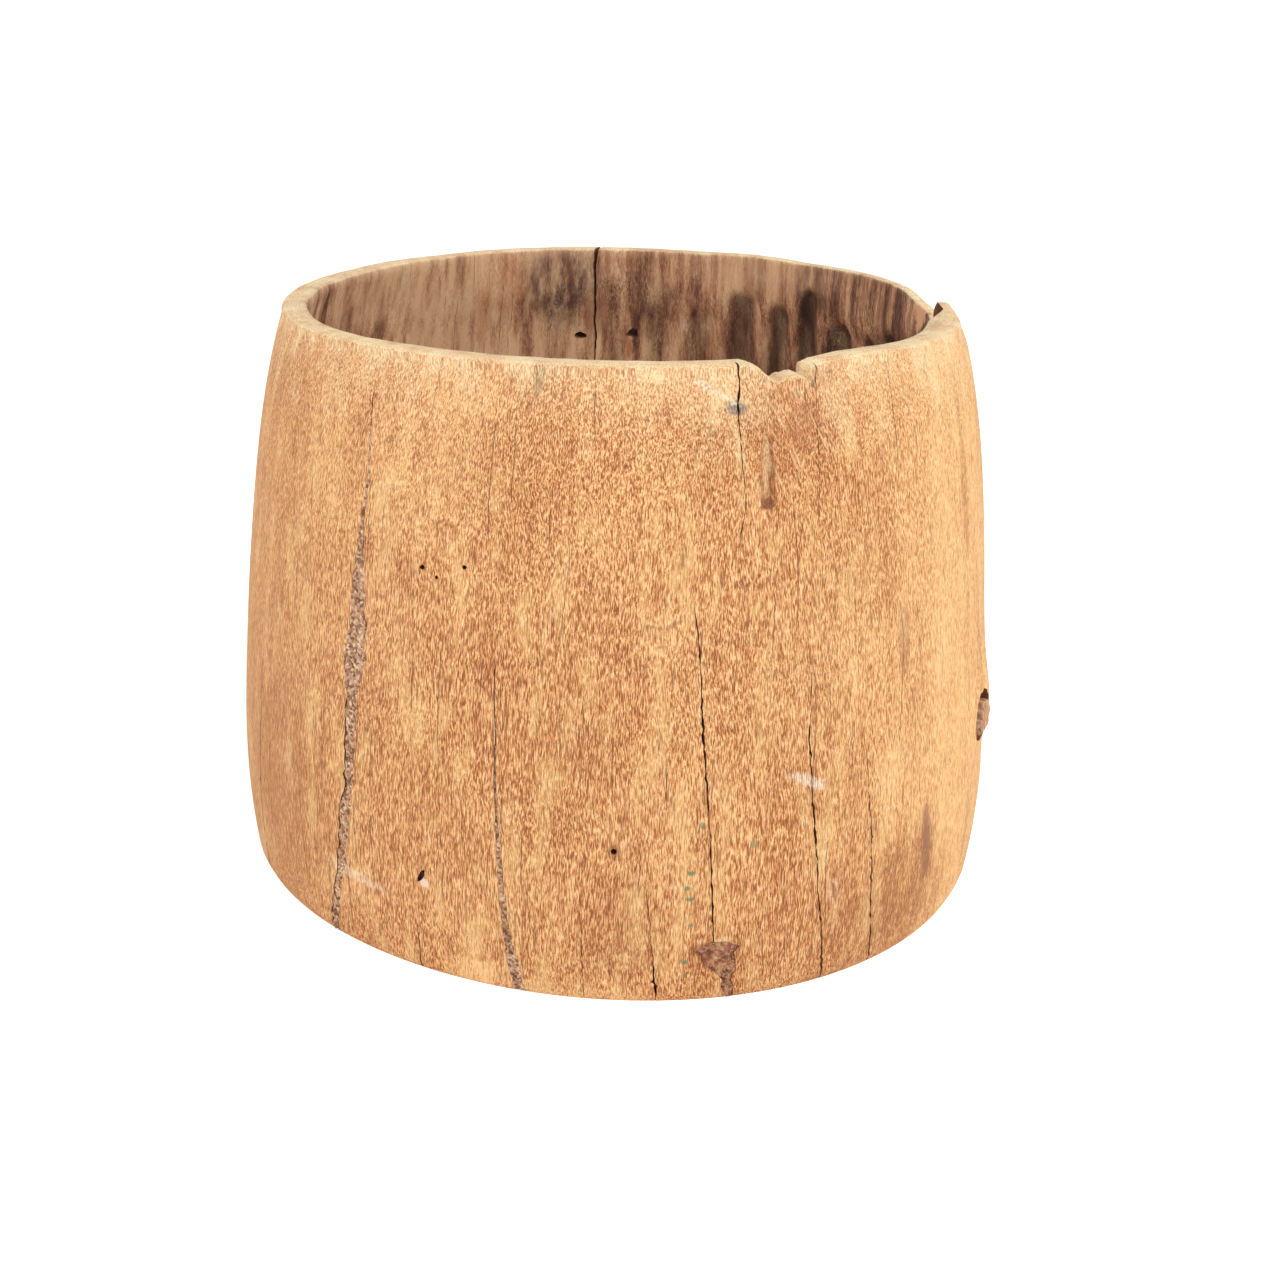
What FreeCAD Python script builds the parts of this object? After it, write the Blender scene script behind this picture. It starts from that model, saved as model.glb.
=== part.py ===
import FreeCAD, Part
import math
import os

# Wooden flower pot: a length of tree trunk hollowed to a thin wall, with a floor of three boards let in
# from below and nailed through the wall. Millimetres, +Z up, the pot stands on z = 0 around the Z axis.
# Angles are in degrees from +X over +Y, so the front of the pot is at 270.

# Outside of the trunk: radii from the foot to the rim, at even steps of the height
foot_radius = 229.5
belly_radius = 233.5
middle_radius = 227.5
shoulder_radius = 218.5
rim_radius = 200.0
lobe_depth = 3.4          # how far the outline swells towards its three rounded sides
foot_bevel = 4.0          # worn lower edge

# Rim: its height and how it runs up and down around the mouth
rim_height = 341.0
rim_tilt = 3.6            # the front stands higher than the back
rim_saddle = 2.2
rim_saddle_angle = 21.0
rim_roll = 5.0            # height of the rounded top edge

# Hollow: wall thickness at the rim, and the marks left by the gouge
rim_wall = 15.0
flute_count = 36
flute_depth = 2.0
flute_end = 0.84          # the gouge marks start to run out at this share of the hollow's height
flute_gone = 0.95         # and above this share the wall is worn smooth

# Floor boards, pushed up against a shoulder cut into the foot of the wall
floor_top = 71.0
floor_thickness = 22.0
seat_wall = 10.5          # wall round the seat where the outside is narrowest
shoulder_step = 3.0       # the seat is cut this far behind the deepest gouge marks
floor_clearance = 0.3
board_count = 3
board_gap = 3.0
drain_hole = 16.0
drain_circle = 125.0      # radius on which the outer drain holes lie
drain_angles = (0, 90, 180, 270)

# Forged nails through the wall into the edges of the boards
nail_angles = (242, 300, 0, 60, 118, 180)
nail_shank = 3.4          # across the flats of the square shank
nail_head = 5.0           # across the flats of the square head
nail_head_thickness = 2.0
nail_sunk = 2.5           # the heads are punched below the surface
nail_length = 58.0
nail_point = 8.0

# Drying checks in the outside. Each runs through places from the top down: angle, height, width
check_depth = 7.0
check_taper = 0.04        # how much each wall of a check comes in per millimetre of depth
filler_sunk = 0.8         # the fillers have shrunk below the surface
filler_clearance = 0.25   # and away from the walls of the check
past_foot = -5.0          # a check that opens in the foot is cut past it
left_check = ((229.5, 300, 1.5), (229.7, 225, 4), (229.8, 186, 10), (229.2, 150, 6), (228, 85, 5),
              (224, past_foot, 5))
middle_check = ((253.2, 150, 1.5), (253.9, 92, 3), (255, 45, 5), (257, past_foot, 7))
centre_check = ((279.5, 226, 1.5), (280.8, 156, 2.5), (282.4, 76, 2.5), (283, 38, 3))
foot_break = ((283.4, 38, 14), (283.6, 34, 23), (283.8, 27, 22), (284.6, 20, 12), (285.2, 12, 7),
              (285.8, past_foot, 4))
right_check = ((295.6, 184, 1.5), (295.6, 127, 2.5), (297.3, 67, 2.5), (300, past_foot, 2.5))
far_right_check = ((305, 130, 1.5), (306.2, 70, 2.5), (308.5, past_foot, 2.5))

# Cuts that start at the rim, with heights from the rim height. The first two go through the wall.
back_split = ((93.7, 20, 5), (93.3, -30, 4), (92.8, -60, 2.5), (92.6, -80, 1.2))
side_split = ((1.5, 20, 7), (4, -10, 6), (4.6, -45, 2.5), (4.2, -75, 1.2))
rim_check = ((286, 20, 4), (285.8, -28, 2.5), (286.3, -62, 2), (285.4, -90, 1.5))

# Lacing holes beside the back split
lacing_hole = 8.5
lacing_hole_angles = (88.8, 99.6)
lacing_hole_below_rim = 64.0
lacing_hole_slope = 0.3   # how much the holes rise per millimetre on their way out

# Wear of the rim: distance along the rim from the angle, height from the rim height
worn_end_angle = 3.5
worn_end = ((0, 30), (0, -22), (5, -13), (14, -9.5), (34, -6), (62, -3), (90, 2), (90, 30))
notch_angle = 293.3
notch = ((-19, 8), (-12, 0.5), (-7, -4), (-2, -4.2), (3, -1.7), (10, -1.5), (12.5, -4), (15, -0.5), (14, 4),
         (18, 9), (18, 30), (-19, 30))

# Dent of a gouge that slipped, on the front below the notch
dent_angle = 289.6
dent_top = 312.0
dent_bottom = 279.0
dent_width = 6.0
dent_depth = 2.0

# Swelling round the dead knot on the right side, and the knot in its hole
knot_angle = 340.0
knot_height = 114.0
swelling_height = 62.0    # across the swelling at a third of its height
swelling_width = 50.0
swelling_proud = 4.0
knot_hole_height = 27.0
knot_hole_width = 19.0
knot_hole_depth = 12.0
dead_knot_height = 19.0
dead_knot_width = 15.0
dead_knot_proud = 3.0
dead_knot_drop = 2.5      # the knot has sunk towards the lower side of its hole

# Fineness of the skins
outside_points = 2 * flute_count
outside_rings = 9
hollow_points = 4 * flute_count
hollow_bands = (0, 0.34, 0.68, flute_end, flute_gone)   # shares of the hollow's height where its bands start
seat_points = 24
roll_rings = 5
oval_sides = 14

outline_radii = (foot_radius, belly_radius, middle_radius, shoulder_radius, rim_radius)
reach = 2 * belly_radius      # longer than anything that a cutter has to clear
spare = 0.75 * rim_wall       # how far a cutter stands out past the skin that it opens


def even_shares(count):
    return [i / (count - 1) for i in range(count)]


def round_radius(share):
    """Radius of the trunk at a share of its height: the curve through the given radii."""
    total = 0.0
    places = even_shares(len(outline_radii))
    for here, radius in zip(places, outline_radii):
        weight = 1.0
        for other in places:
            if other != here:
                weight *= (share - other) / (here - other)
        total += weight * radius
    return total


def rim_line(angle):
    """Height of the top of the rim."""
    tilt = rim_tilt * math.sin(math.radians(angle))
    saddle = rim_saddle * math.cos(math.radians(2 * (angle - rim_saddle_angle)))
    return rim_height - tilt - saddle


def wall_top(angle):
    """Height at which the wall ends and the rounded top edge starts."""
    return rim_line(angle) - rim_roll


def plain_radius(angle, height):
    """Radius of the outside without the swelling at the knot."""
    return round_radius(height / wall_top(angle)) - lobe_depth * math.cos(math.radians(3 * angle))


def outside_radius(angle, height):
    aside = math.radians((angle - knot_angle + 180) % 360 - 180) * belly_radius
    above = height - knot_height
    fall = (2 * aside / swelling_width) ** 2 + (2 * above / swelling_height) ** 2
    return plain_radius(angle, height) + swelling_proud * math.exp(-fall)


def seat_radius(angle, height):
    """Radius of the seat of the floor, which goes straight down to the foot."""
    return min(plain_radius(angle, 0), plain_radius(angle, floor_top)) - seat_wall


def hollow_radius(angle, height):
    """Radius of the hollow, waved by the gouge and smooth below the rim."""
    share = (height - floor_top) / (wall_top(angle) - floor_top)
    floor_wall = plain_radius(angle, floor_top) - seat_radius(angle, floor_top) + shoulder_step + flute_depth
    wall = floor_wall + (rim_wall - floor_wall) * share
    wave = 0.5 * flute_depth * (1 + math.cos(math.radians(flute_count * angle)))
    fade = min(1, max(0, (flute_gone - share) / (flute_gone - flute_end)))
    return plain_radius(angle, height) - wall + wave * fade


def level(height):
    return lambda angle: height


def between(low, high, share):
    """Height that lies a share of the way between two others, all round."""
    return lambda angle: low(angle) + share * (high(angle) - low(angle))


def ring(radius_at, height_at, count, inset=0.0):
    """Closed curve round the pot, through points at even angles."""
    points = []
    for i in range(count):
        angle = 360 * i / count
        height = height_at(angle)
        radius = radius_at(angle, height) - inset
        turn = math.radians(angle)
        points.append(FreeCAD.Vector(radius * math.cos(turn), radius * math.sin(turn), height))
    curve = Part.BSplineCurve()
    curve.interpolate(Points=points, PeriodicFlag=True, Parameters=[i / count for i in range(count + 1)])
    return Part.Wire([curve.toShape()])


def rounded_rim(outer, inner):
    """Rings over the top edge, from the last ring of the outside to the last of the hollow."""
    rings = [outer]
    for share in even_shares(roll_rings)[1:-1]:
        turn = math.pi * share
        inward = 0.5 * (1 - math.cos(turn))
        rise = rim_roll * math.sin(turn)

        def radius_at(angle, height):
            start = outside_radius(angle, wall_top(angle))
            return start + inward * (hollow_radius(angle, wall_top(angle)) - start)

        rings.append(ring(radius_at, lambda angle: wall_top(angle) + rise, outside_points))
    return rings + [inner]


def skin(rings):
    """Bands from ring to ring, as a blade takes the wood off in bands."""
    return Part.makeLoft(rings, False, True).Faces


def flat_ring(outer, inner):
    return Part.makeFace([outer, inner], "Part::FaceMakerBullseye").Faces


def closed(faces):
    shell = Part.makeShell(faces)
    shell.sewShape()
    return Part.makeSolid(shell)


def flat_face(corners):
    return Part.Face(Part.makePolygon(corners + corners[:1]))


def flat_sided(rings):
    """Solid of flat faces from ring to ring of corners, with flat ends."""
    faces = [flat_face(rings[0]), flat_face(rings[-1])]
    for low, high in zip(rings, rings[1:]):
        for i in range(len(low)):
            faces.append(flat_face([low[i - 1], low[i], high[i], high[i - 1]]))
    return closed(faces)


def hollowed_log():
    """Outside, rounded rim, hollow, shoulder, seat of the floor and foot, closed to one solid."""
    outside = [ring(outside_radius, between(level(foot_bevel), wall_top, share), outside_points)
               for share in even_shares(outside_rings)]
    hollow = [ring(hollow_radius, between(level(floor_top), wall_top, share), hollow_points)
              for share in hollow_bands]
    hollow.append(ring(hollow_radius, wall_top, outside_points))
    seat_top = ring(seat_radius, level(floor_top), seat_points)
    seat_under = ring(seat_radius, level(floor_top - floor_thickness), seat_points)
    seat_foot = ring(seat_radius, level(0), seat_points)
    foot_edge = ring(outside_radius, level(0), outside_points, foot_bevel / 2)
    faces = skin(outside) + skin(rounded_rim(outside[-1], hollow[-1])) + skin(hollow)
    faces += flat_ring(seat_top, hollow[0]) + skin([seat_foot, seat_under, seat_top])
    faces += flat_ring(foot_edge, seat_foot) + skin([foot_edge, outside[0]])
    return closed(faces)


def turned(shape, angle):
    """A shape made on the +X side of the pot, brought round to its angle."""
    shape.rotate(FreeCAD.Vector(0, 0, 0), FreeCAD.Vector(0, 0, 1), angle)
    return shape


def middle_angle(places):
    return sum(place[0] for place in places) / len(places)


def split_solid(places, low, high, zero=0.0, clearance=0.0):
    """Wedge along a split, between two depths from the outside. Heights count from zero."""
    middle = middle_angle(places)
    sections = []
    for angle, above, width in places:
        height = zero + above
        radius = plain_radius(angle, height)
        turn = math.radians(angle - middle)
        corners = []
        for depth, side in ((low, 1), (high, 1), (high, -1), (low, -1)):
            half = width / 2 + check_taper * depth - clearance
            aside = radius * math.sin(turn) + side * half
            corners.append(FreeCAD.Vector(radius * math.cos(turn) + depth, aside, height))
        sections.append(corners)
    return turned(flat_sided(sections), middle)


def check_cutter(places, zero=0.0):
    return split_solid(places, -check_depth, spare, zero)


def through_cutter(places):
    """Straight cutter along a split that goes through the wall, with heights from the rim height."""
    middle = middle_angle(places)
    left = []
    right = []
    for angle, above, width in places:
        aside = rim_radius * math.sin(math.radians(angle - middle))
        left.append((aside + width / 2, above))
        right.append((aside - width / 2, above))
    return rim_cutter(left + right[::-1], middle)


def rim_cutter(outline, angle):
    """Straight cutter through the wall, with an outline of places aside and above the rim height."""
    face = flat_face([FreeCAD.Vector(rim_radius / 2, aside, rim_height + above) for aside, above in outline])
    return turned(face.extrude(FreeCAD.Vector(rim_radius, 0, 0)), angle)


def lacing_hole_cutter(angle):
    """Round cutter through the wall, at its height where the hollow's wall is."""
    start = FreeCAD.Vector(rim_radius - spare, 0, rim_height - lacing_hole_below_rim - lacing_hole_slope * spare)
    way = FreeCAD.Vector(1, 0, lacing_hole_slope)
    return turned(Part.makeCylinder(lacing_hole / 2, rim_radius, start, way), angle)


def dent_cutter():
    """Round-bottomed groove that starts at the surface and ends abruptly at its lower end."""
    radius = ((dent_width / 2) ** 2 + dent_depth ** 2) / (2 * dent_depth)
    low = FreeCAD.Vector(outside_radius(dent_angle, dent_bottom) + radius - dent_depth, 0, dent_bottom)
    high = FreeCAD.Vector(outside_radius(dent_angle, dent_top) + radius, 0, dent_top)
    groove = Part.makeCylinder(radius, (high - low).Length, low, high - low)
    return turned(groove.fuse(Part.makeSphere(radius, low)), dent_angle)


def oval(height, width, radius, middle):
    """Corners of an upright many-sided oval square to +X, at a distance from the axis of the pot."""
    points = []
    for i in range(oval_sides):
        turn = 2 * math.pi * i / oval_sides
        aside = width / 2 * math.cos(turn)
        above = height / 2 * math.sin(turn)
        points.append(FreeCAD.Vector(radius, aside, middle + above))
    return points


def knot_floor():
    """Distance of the bottom of the knot hole from the axis of the pot."""
    return outside_radius(knot_angle, knot_height) - knot_hole_depth


def knot_hole_cutter():
    rings = [oval(knot_hole_height, knot_hole_width, radius, knot_height)
             for radius in (knot_floor(), knot_floor() + knot_hole_depth + spare)]
    return turned(flat_sided(rings), knot_angle)


def dead_knot():
    """Rounded stub that stands on the bottom of the knot hole, narrowing in bands."""
    rings = []
    for turn in (0, 30, 55, 75):
        width = math.cos(math.radians(turn))
        length = (knot_hole_depth + dead_knot_proud) * math.sin(math.radians(turn))
        rings.append(oval(dead_knot_height * width, dead_knot_width * width, knot_floor() + length,
                          knot_height - dead_knot_drop))
    return turned(flat_sided(rings), knot_angle)


def nail_height():
    return floor_top - floor_thickness / 2


def square_bar(size, start, end, end_size):
    """Square bar along X between two distances from the axis of the pot, at the height of the nails."""
    sections = []
    for radius, across in ((start, size), (end, end_size)):
        half = across / 2
        sections.append([FreeCAD.Vector(radius, y, nail_height() + z)
                         for y, z in ((-half, -half), (half, -half), (half, half), (-half, half))])
    return flat_sided(sections)


def head_face(angle):
    """Distance of the top of a nail's head from the axis of the pot."""
    return outside_radius(angle, nail_height()) - nail_sunk


def nail(angle):
    """Nail with a flat square head, a square shank and a blunt point."""
    top = head_face(angle)
    shoulder = top - nail_length + nail_point
    head = square_bar(nail_head, top, top - nail_head_thickness, nail_head)
    shank = square_bar(nail_shank, top, shoulder, nail_shank)
    point = square_bar(nail_shank, shoulder, top - nail_length, nail_shank / 4)
    return turned(head.fuse([shank, point]).removeSplitter(), angle)


def nail_pocket(angle):
    """Hole that the punch left above the nail's head."""
    return turned(square_bar(nail_head, head_face(angle), head_face(angle) + nail_sunk + spare, nail_head), angle)


def floor_disc():
    under = ring(seat_radius, level(floor_top - floor_thickness), seat_points, floor_clearance)
    over = ring(seat_radius, level(floor_top), seat_points, floor_clearance)
    disc = Part.makeLoft([under, over], True, True)
    places = [(0, 0)]
    for angle in drain_angles:
        turn = math.radians(angle)
        places.append((drain_circle * math.cos(turn), drain_circle * math.sin(turn)))
    holes = [Part.makeCylinder(drain_hole / 2, reach, FreeCAD.Vector(x, y, 0)) for x, y in places]
    return disc.cut(holes)


def floor_board(disc, nails, row):
    """Board that runs from left to right, in its row counted from the front."""
    pitch = (disc.BoundBox.YLength + board_gap) / board_count
    near = disc.BoundBox.YMin + row * pitch
    strip = Part.makeBox(2 * reach, pitch - board_gap, reach, FreeCAD.Vector(-reach, near, 0))
    return disc.common(strip).cut(nails)


def filler(places):
    """Filler in a check: lies along its walls and its bottom, and is sunk below the surface."""
    above_bevel = Part.makeBox(2 * reach, 2 * reach, reach, FreeCAD.Vector(-reach, -reach, foot_bevel))
    bottom = filler_clearance - check_depth
    return split_solid(places, bottom, -filler_sunk, 0.0, filler_clearance).common(above_bevel)


def trunk(nails):
    checks = (left_check, middle_check, centre_check, right_check, far_right_check)
    cutters = [check_cutter(places) for places in checks]
    cutters.append(check_cutter(foot_break))
    cutters.append(check_cutter(rim_check, rim_height))
    cutters += [through_cutter(places) for places in (back_split, side_split)]
    cutters += [rim_cutter(worn_end, worn_end_angle), rim_cutter(notch, notch_angle)]
    cutters += [lacing_hole_cutter(angle) for angle in lacing_hole_angles]
    cutters += [dent_cutter(), knot_hole_cutter()]
    cutters += nails + [nail_pocket(angle) for angle in nail_angles]
    return hollowed_log().cut(cutters)


def pieces():
    nails = [nail(angle) for angle in nail_angles]
    disc = floor_disc()
    return {
        "hollow_trunk": trunk(nails),
        "floor_board_front": floor_board(disc, nails, 0),
        "floor_board_middle": floor_board(disc, nails, 1),
        "floor_board_back": floor_board(disc, nails, 2),
        "floor_nails": Part.makeCompound(nails),
        "crack_filler_left": filler(left_check),
        "crack_filler_middle": filler(middle_check),
        "foot_crack_patch": filler(foot_break),
        "dead_knot": dead_knot(),
    }


os.makedirs("parts", exist_ok=True)
for name, shape in pieces().items():
    print(name, shape.isValid(), len(shape.Solids), len(shape.Faces), round(shape.Volume))
    shape.exportStep("parts/" + name + ".step")
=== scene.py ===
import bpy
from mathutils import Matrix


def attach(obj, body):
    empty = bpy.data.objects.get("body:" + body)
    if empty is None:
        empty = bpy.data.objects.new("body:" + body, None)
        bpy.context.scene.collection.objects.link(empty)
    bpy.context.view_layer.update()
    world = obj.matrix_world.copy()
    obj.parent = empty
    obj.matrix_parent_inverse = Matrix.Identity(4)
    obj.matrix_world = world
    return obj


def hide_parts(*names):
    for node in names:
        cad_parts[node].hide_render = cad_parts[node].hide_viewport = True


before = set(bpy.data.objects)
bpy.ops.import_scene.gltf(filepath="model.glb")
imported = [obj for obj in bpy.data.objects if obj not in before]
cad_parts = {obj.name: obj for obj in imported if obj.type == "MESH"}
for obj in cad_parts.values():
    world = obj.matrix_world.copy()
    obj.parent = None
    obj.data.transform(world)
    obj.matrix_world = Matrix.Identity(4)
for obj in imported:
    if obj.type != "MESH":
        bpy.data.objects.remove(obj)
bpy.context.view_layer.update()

import math

import bmesh
import bpy
import numpy as np
from mathutils import Matrix, Vector, noise

# Hollowed trunk
# One length of tree trunk, hollowed with a gouge until the wall was about 15 mm thick, then sanded outside.
# Its sheet of faces goes up the outside, over the worn rim, down the hollow and back under the foot.
girths = (0.2295, 0.2335, 0.2275, 0.2185, 0.200)
lobe_depth = 0.0034
rim_height = 0.341
rim_tilt = 0.0036
rim_saddle = 0.0022
rim_saddle_angle = 21
rim_roll = 0.005
rim_sanded = 0.0006
rim_wall = 0.015
foot_bevel = 0.004
floor_top = 0.071
seat_wall = 0.0105
shoulder_step = 0.003
knot_angle = 340
knot_height = 0.114
swelling_proud = 0.0048
swelling_raised = 0.005
swelling_width = 0.050
swelling_height = 0.062
dent_depth = 0.0022
dent_below = 0.032
dent_height = 0.016
side_split_angle = 4.6
front_end_angle = 361
front_end_spread = 6
front_end_proud = 2.4
shoulder_wear = 0.0055
shoulder_reach = 0.012
shoulder_spread = 14
sprung_above = 0.25
sprung_height = 0.09
front_end_sprung = 0.0015
back_end_sprung = 0.005
broad_end_angle = 345
broad_end_spread = 14
broad_end_wall = 0.005
thin_edge_wear = 0.008
thin_edge_reach = 0.028
gouge_count = 43
gouge_depth = 0.0012
gouge_end = 0.010
rough_side_angle = 46
rough_side_spread = 34
rough_gouge_depth = 0.0038
low_gouge_depth = 0.0011
low_gouge_end = 0.012
notch_angles = (287.2, 288.9, 289.9, 290.8, 291.9, 293.1, 294.4, 295.5, 296.3, 296.9, 297.2, 298.2, 299.4, 304)
notch_drops = (0, 1.7, 4.2, 7.2, 8.8, 7.4, 6.3, 6.9, 8.0, 9.6, 3.0, 2.0, 1.2, 0)
worn_angles = (1.2, 3.0, 4.4, 4.8, 10.0, 14.0, 15.6, 17.0, 20.0, 22.5, 25.0, 30.0, 34.0)
worn_drops = (0, 4.0, 8.5, 20.0, 17.0, 13.0, 10.0, 9.0, 7.5, 4.5, 2.0, 0.5, 0)
thin_edge_angles = (3, 6, 45, 75, 125, 150)
thin_edge_shares = (0, 1, 1, 0.7, 0.6, 0)
wood_chance = np.random.default_rng(11)


def corner_values(piece, kind="co"):
    """The corners of a mesh, one row each: their places or their normals."""
    values = np.zeros(len(piece.data.vertices) * 3)
    piece.data.vertices.foreach_get(kind, values)
    return values.reshape(-1, 3)


def put_corners(piece, places):
    """Moves the corners of a mesh to their places."""
    piece.data.vertices.foreach_set("co", np.array(places).ravel())


def turned_from(angle, other):
    """Angle from another one, between -180 and 180 degrees."""
    return (angle - other + 180) % 360 - 180


def eased(share):
    """Soft step of a share that is held between 0 and 1."""
    share = np.clip(share, 0, 1)
    return share * share * (3 - 2 * share)


def girth(share):
    """Radius of the log at a share of its height: a smooth line through the five measured radii."""
    places = (0, 0.25, 0.5, 0.75, 1)
    total = 0
    for here in range(5):
        weight = 1
        for there in range(5):
            if there != here:
                weight = weight * (share - places[there]) / (places[here] - places[there])
        total = total + girths[here] * weight
    return total


def rim_line(angle):
    """Height of the sound rim round the pot, tilted forward and a little saddle-shaped."""
    tilt = rim_tilt * np.sin(np.radians(angle))
    saddle = rim_saddle * np.cos(np.radians(2 * (angle - rim_saddle_angle)))
    return rim_height - tilt - saddle


def wall_top(angle):
    """Height where the rim starts to turn over."""
    return rim_line(angle) - rim_roll


def rim_wear(angle):
    """How much of the rim is gone: the bitten notch in front and the worn end beside the open split."""
    bitten = np.interp(angle % 360, notch_angles, notch_drops)
    worn = np.interp(angle % 360, worn_angles, worn_drops)
    proud = front_end_proud * np.exp(-(turned_from(angle, front_end_angle) / front_end_spread) ** 2)
    return 0.001 * (bitten + worn - proud)


def round_shoulder(angle, below_top):
    """How far the outside of the front end is worn back near its top."""
    aside = turned_from(angle, side_split_angle)
    near = np.exp(-(aside / shoulder_spread) ** 2) * (aside <= 0.2)
    return shoulder_wear * near * np.clip(1 - below_top / shoulder_reach, 0, 1) ** 2


def log_radius(angle, height):
    """Outside of the log without its knot: three flat-sided lobes on the barrel."""
    return girth(height / wall_top(angle)) - lobe_depth * np.cos(np.radians(3 * angle))


def outside_radius(angle, height):
    """Outside of the pot with the swelling round the knot."""
    aside = np.radians(turned_from(angle, knot_angle)) * girths[1]
    above = height - knot_height - swelling_raised
    fall = (2 * aside / swelling_width) ** 2 + (2 * above / swelling_height) ** 2
    below = (2 * aside / swelling_width) ** 2 + ((height - knot_height + dent_below) / dent_height) ** 2
    return log_radius(angle, height) + swelling_proud * np.exp(-fall) - dent_depth * np.exp(-below)


def seat_radius(angle):
    """Recess under the shoulder that takes the floor boards."""
    return np.minimum(log_radius(angle, 0 * angle), log_radius(angle, 0 * angle + floor_top)) - seat_wall


def split_offset(angle, height):
    """The two ends beside the open split have sprung apart: the front end outwards, the back end inwards."""
    aside = turned_from(angle, side_split_angle)
    upper = np.clip((height - sprung_above) / sprung_height, 0, 1) ** 1.5
    front_end = front_end_sprung * np.exp(-(aside / 9) ** 2) * (aside <= 0)
    back_end = -back_end_sprung * np.exp(-(aside / 10) ** 2) * (aside > 0)
    return upper * (front_end + back_end)


gouge_edges = np.cumsum(wood_chance.uniform(6.6, 10.2, gouge_count))
gouge_edges = gouge_edges * 360 / gouge_edges[-1]
gouge_tops = wood_chance.uniform(0.300, 0.324, gouge_count)
gouge_deep = wood_chance.uniform(0.55, 1.0, gouge_count)
low_gouge_tops = wood_chance.uniform(0.165, 0.235, gouge_count)


def gouge_marks(angle, height):
    """Depth of the gouge's scoops in the hollow: rounded at their tops, deepest at the right of the back."""
    lean = 1.6 * np.sin(17 * height + np.radians(2 * angle)) + 0.5 * np.sin(61 * height + np.radians(7 * angle))
    turned = (angle + lean) % 360
    which = np.searchsorted(gouge_edges, turned, side="right") % gouge_count
    low_edge = np.where(which > 0, gouge_edges[which - 1], 0)
    across = 2 * (turned - low_edge) / (gouge_edges[which] - low_edge) - 1
    bowl = np.clip(1 - (across / 0.88) ** 2, 0, 1)
    rough_side = np.exp(-(turned_from(turned, rough_side_angle) / rough_side_spread) ** 2)
    depth = gouge_depth + rough_gouge_depth * rough_side
    stroke = eased((gouge_tops[which] - gouge_end * across ** 2 - height) / gouge_end)
    low_stroke = eased((low_gouge_tops[which] - low_gouge_end * across ** 2 - height) / low_gouge_end)
    end = np.clip((height - floor_top) / 0.012, 0, 1)
    return end * bowl * gouge_deep[which] * (depth * stroke + low_gouge_depth * low_stroke)


def hollow_radius(angle, height):
    """Smooth wall of the hollow, before the gouge marks."""
    share = np.clip((height - floor_top) / (wall_top(angle) - floor_top), 0, 1)
    floor_wall = log_radius(angle, 0 * angle + floor_top) - seat_radius(angle) + shoulder_step + 0.002
    broad_end = broad_end_wall * np.exp(-(turned_from(angle, broad_end_angle) / broad_end_spread) ** 2)
    wall = floor_wall + (rim_wall + broad_end - floor_wall) * share
    near_top = np.clip((height - wall_top(angle) + rim_wear(angle)) / thin_edge_reach + 1, 0, 1) ** 1.5
    thinned = thin_edge_wear * near_top * np.interp(angle % 360, thin_edge_angles, thin_edge_shares)
    return log_radius(angle, height) - wall + thinned


columns = np.concatenate([
    np.arange(15, 283, 0.85),
    np.arange(283, 302, 0.26),
    np.arange(302, 350, 0.85),
    np.arange(350, 375, 0.4),
    [375],
])
outside_shares = np.linspace(0, 1, 72)
roll_shares = np.linspace(0, 1, 17)[1:-1]
hollow_shares = np.concatenate([np.linspace(0, 0.38, 34), np.linspace(0.38, 1, 28)[1:]])
seat_shares = np.linspace(0, 1, 5)
foot_shares = np.linspace(0, 1, 4)[1:]

rim_uneven = np.array([
    0.0009 * noise.noise(Vector((3.2 * math.cos(math.radians(a)), 3.2 * math.sin(math.radians(a)), 3)))
    + 0.0002 * noise.noise(Vector((16 * math.cos(math.radians(a)), 16 * math.sin(math.radians(a)), 8)))
    for a in columns
])
jagged_edge = np.array([
    noise.noise(Vector((1.5 * a, 0.3, 5))) + 0.6 * noise.noise(Vector((4.1 * a, 0.7, 9))) for a in columns
])
jagged_edge = 0.0010 * jagged_edge * np.clip(rim_wear(columns) / 0.004, 0, 1) * (np.abs(columns - 293.5) < 7)
worn_top = wall_top(columns) - rim_wear(columns) + rim_uneven + jagged_edge - rim_sanded
rows = []
for share in outside_shares:
    height = foot_bevel + (worn_top - foot_bevel) * share
    radius = outside_radius(columns, height) + split_offset(columns, height)
    rows.append((radius - round_shoulder(columns, worn_top - height), height))
outer_lip = rows[-1][0]
inner_lip = hollow_radius(columns, worn_top) + split_offset(columns, worn_top)
for share in roll_shares:
    swing = math.cos(math.pi * share)
    inward = 0.5 * (1 - math.copysign(abs(swing) ** 0.46, swing))
    rise = rim_roll * math.sin(math.pi * share) ** 0.42
    rows.append((outer_lip + (inner_lip - outer_lip) * inward, worn_top + rise))
for share in hollow_shares:
    height = worn_top + (floor_top - worn_top) * share
    radius = hollow_radius(columns, height) + split_offset(columns, height)
    rows.append((radius + gouge_marks(columns, height), height))
for share in seat_shares:
    rows.append((seat_radius(columns), floor_top * (1 - share) + 0 * columns))
for share in foot_shares:
    foot_edge = outside_radius(columns, 0 * columns + foot_bevel) - 0.5 * foot_bevel
    rows.append((seat_radius(columns) + (foot_edge - seat_radius(columns)) * share, 0 * columns))
rows.append(rows[0])
row_count = len(rows)
column_count = len(columns)

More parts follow.
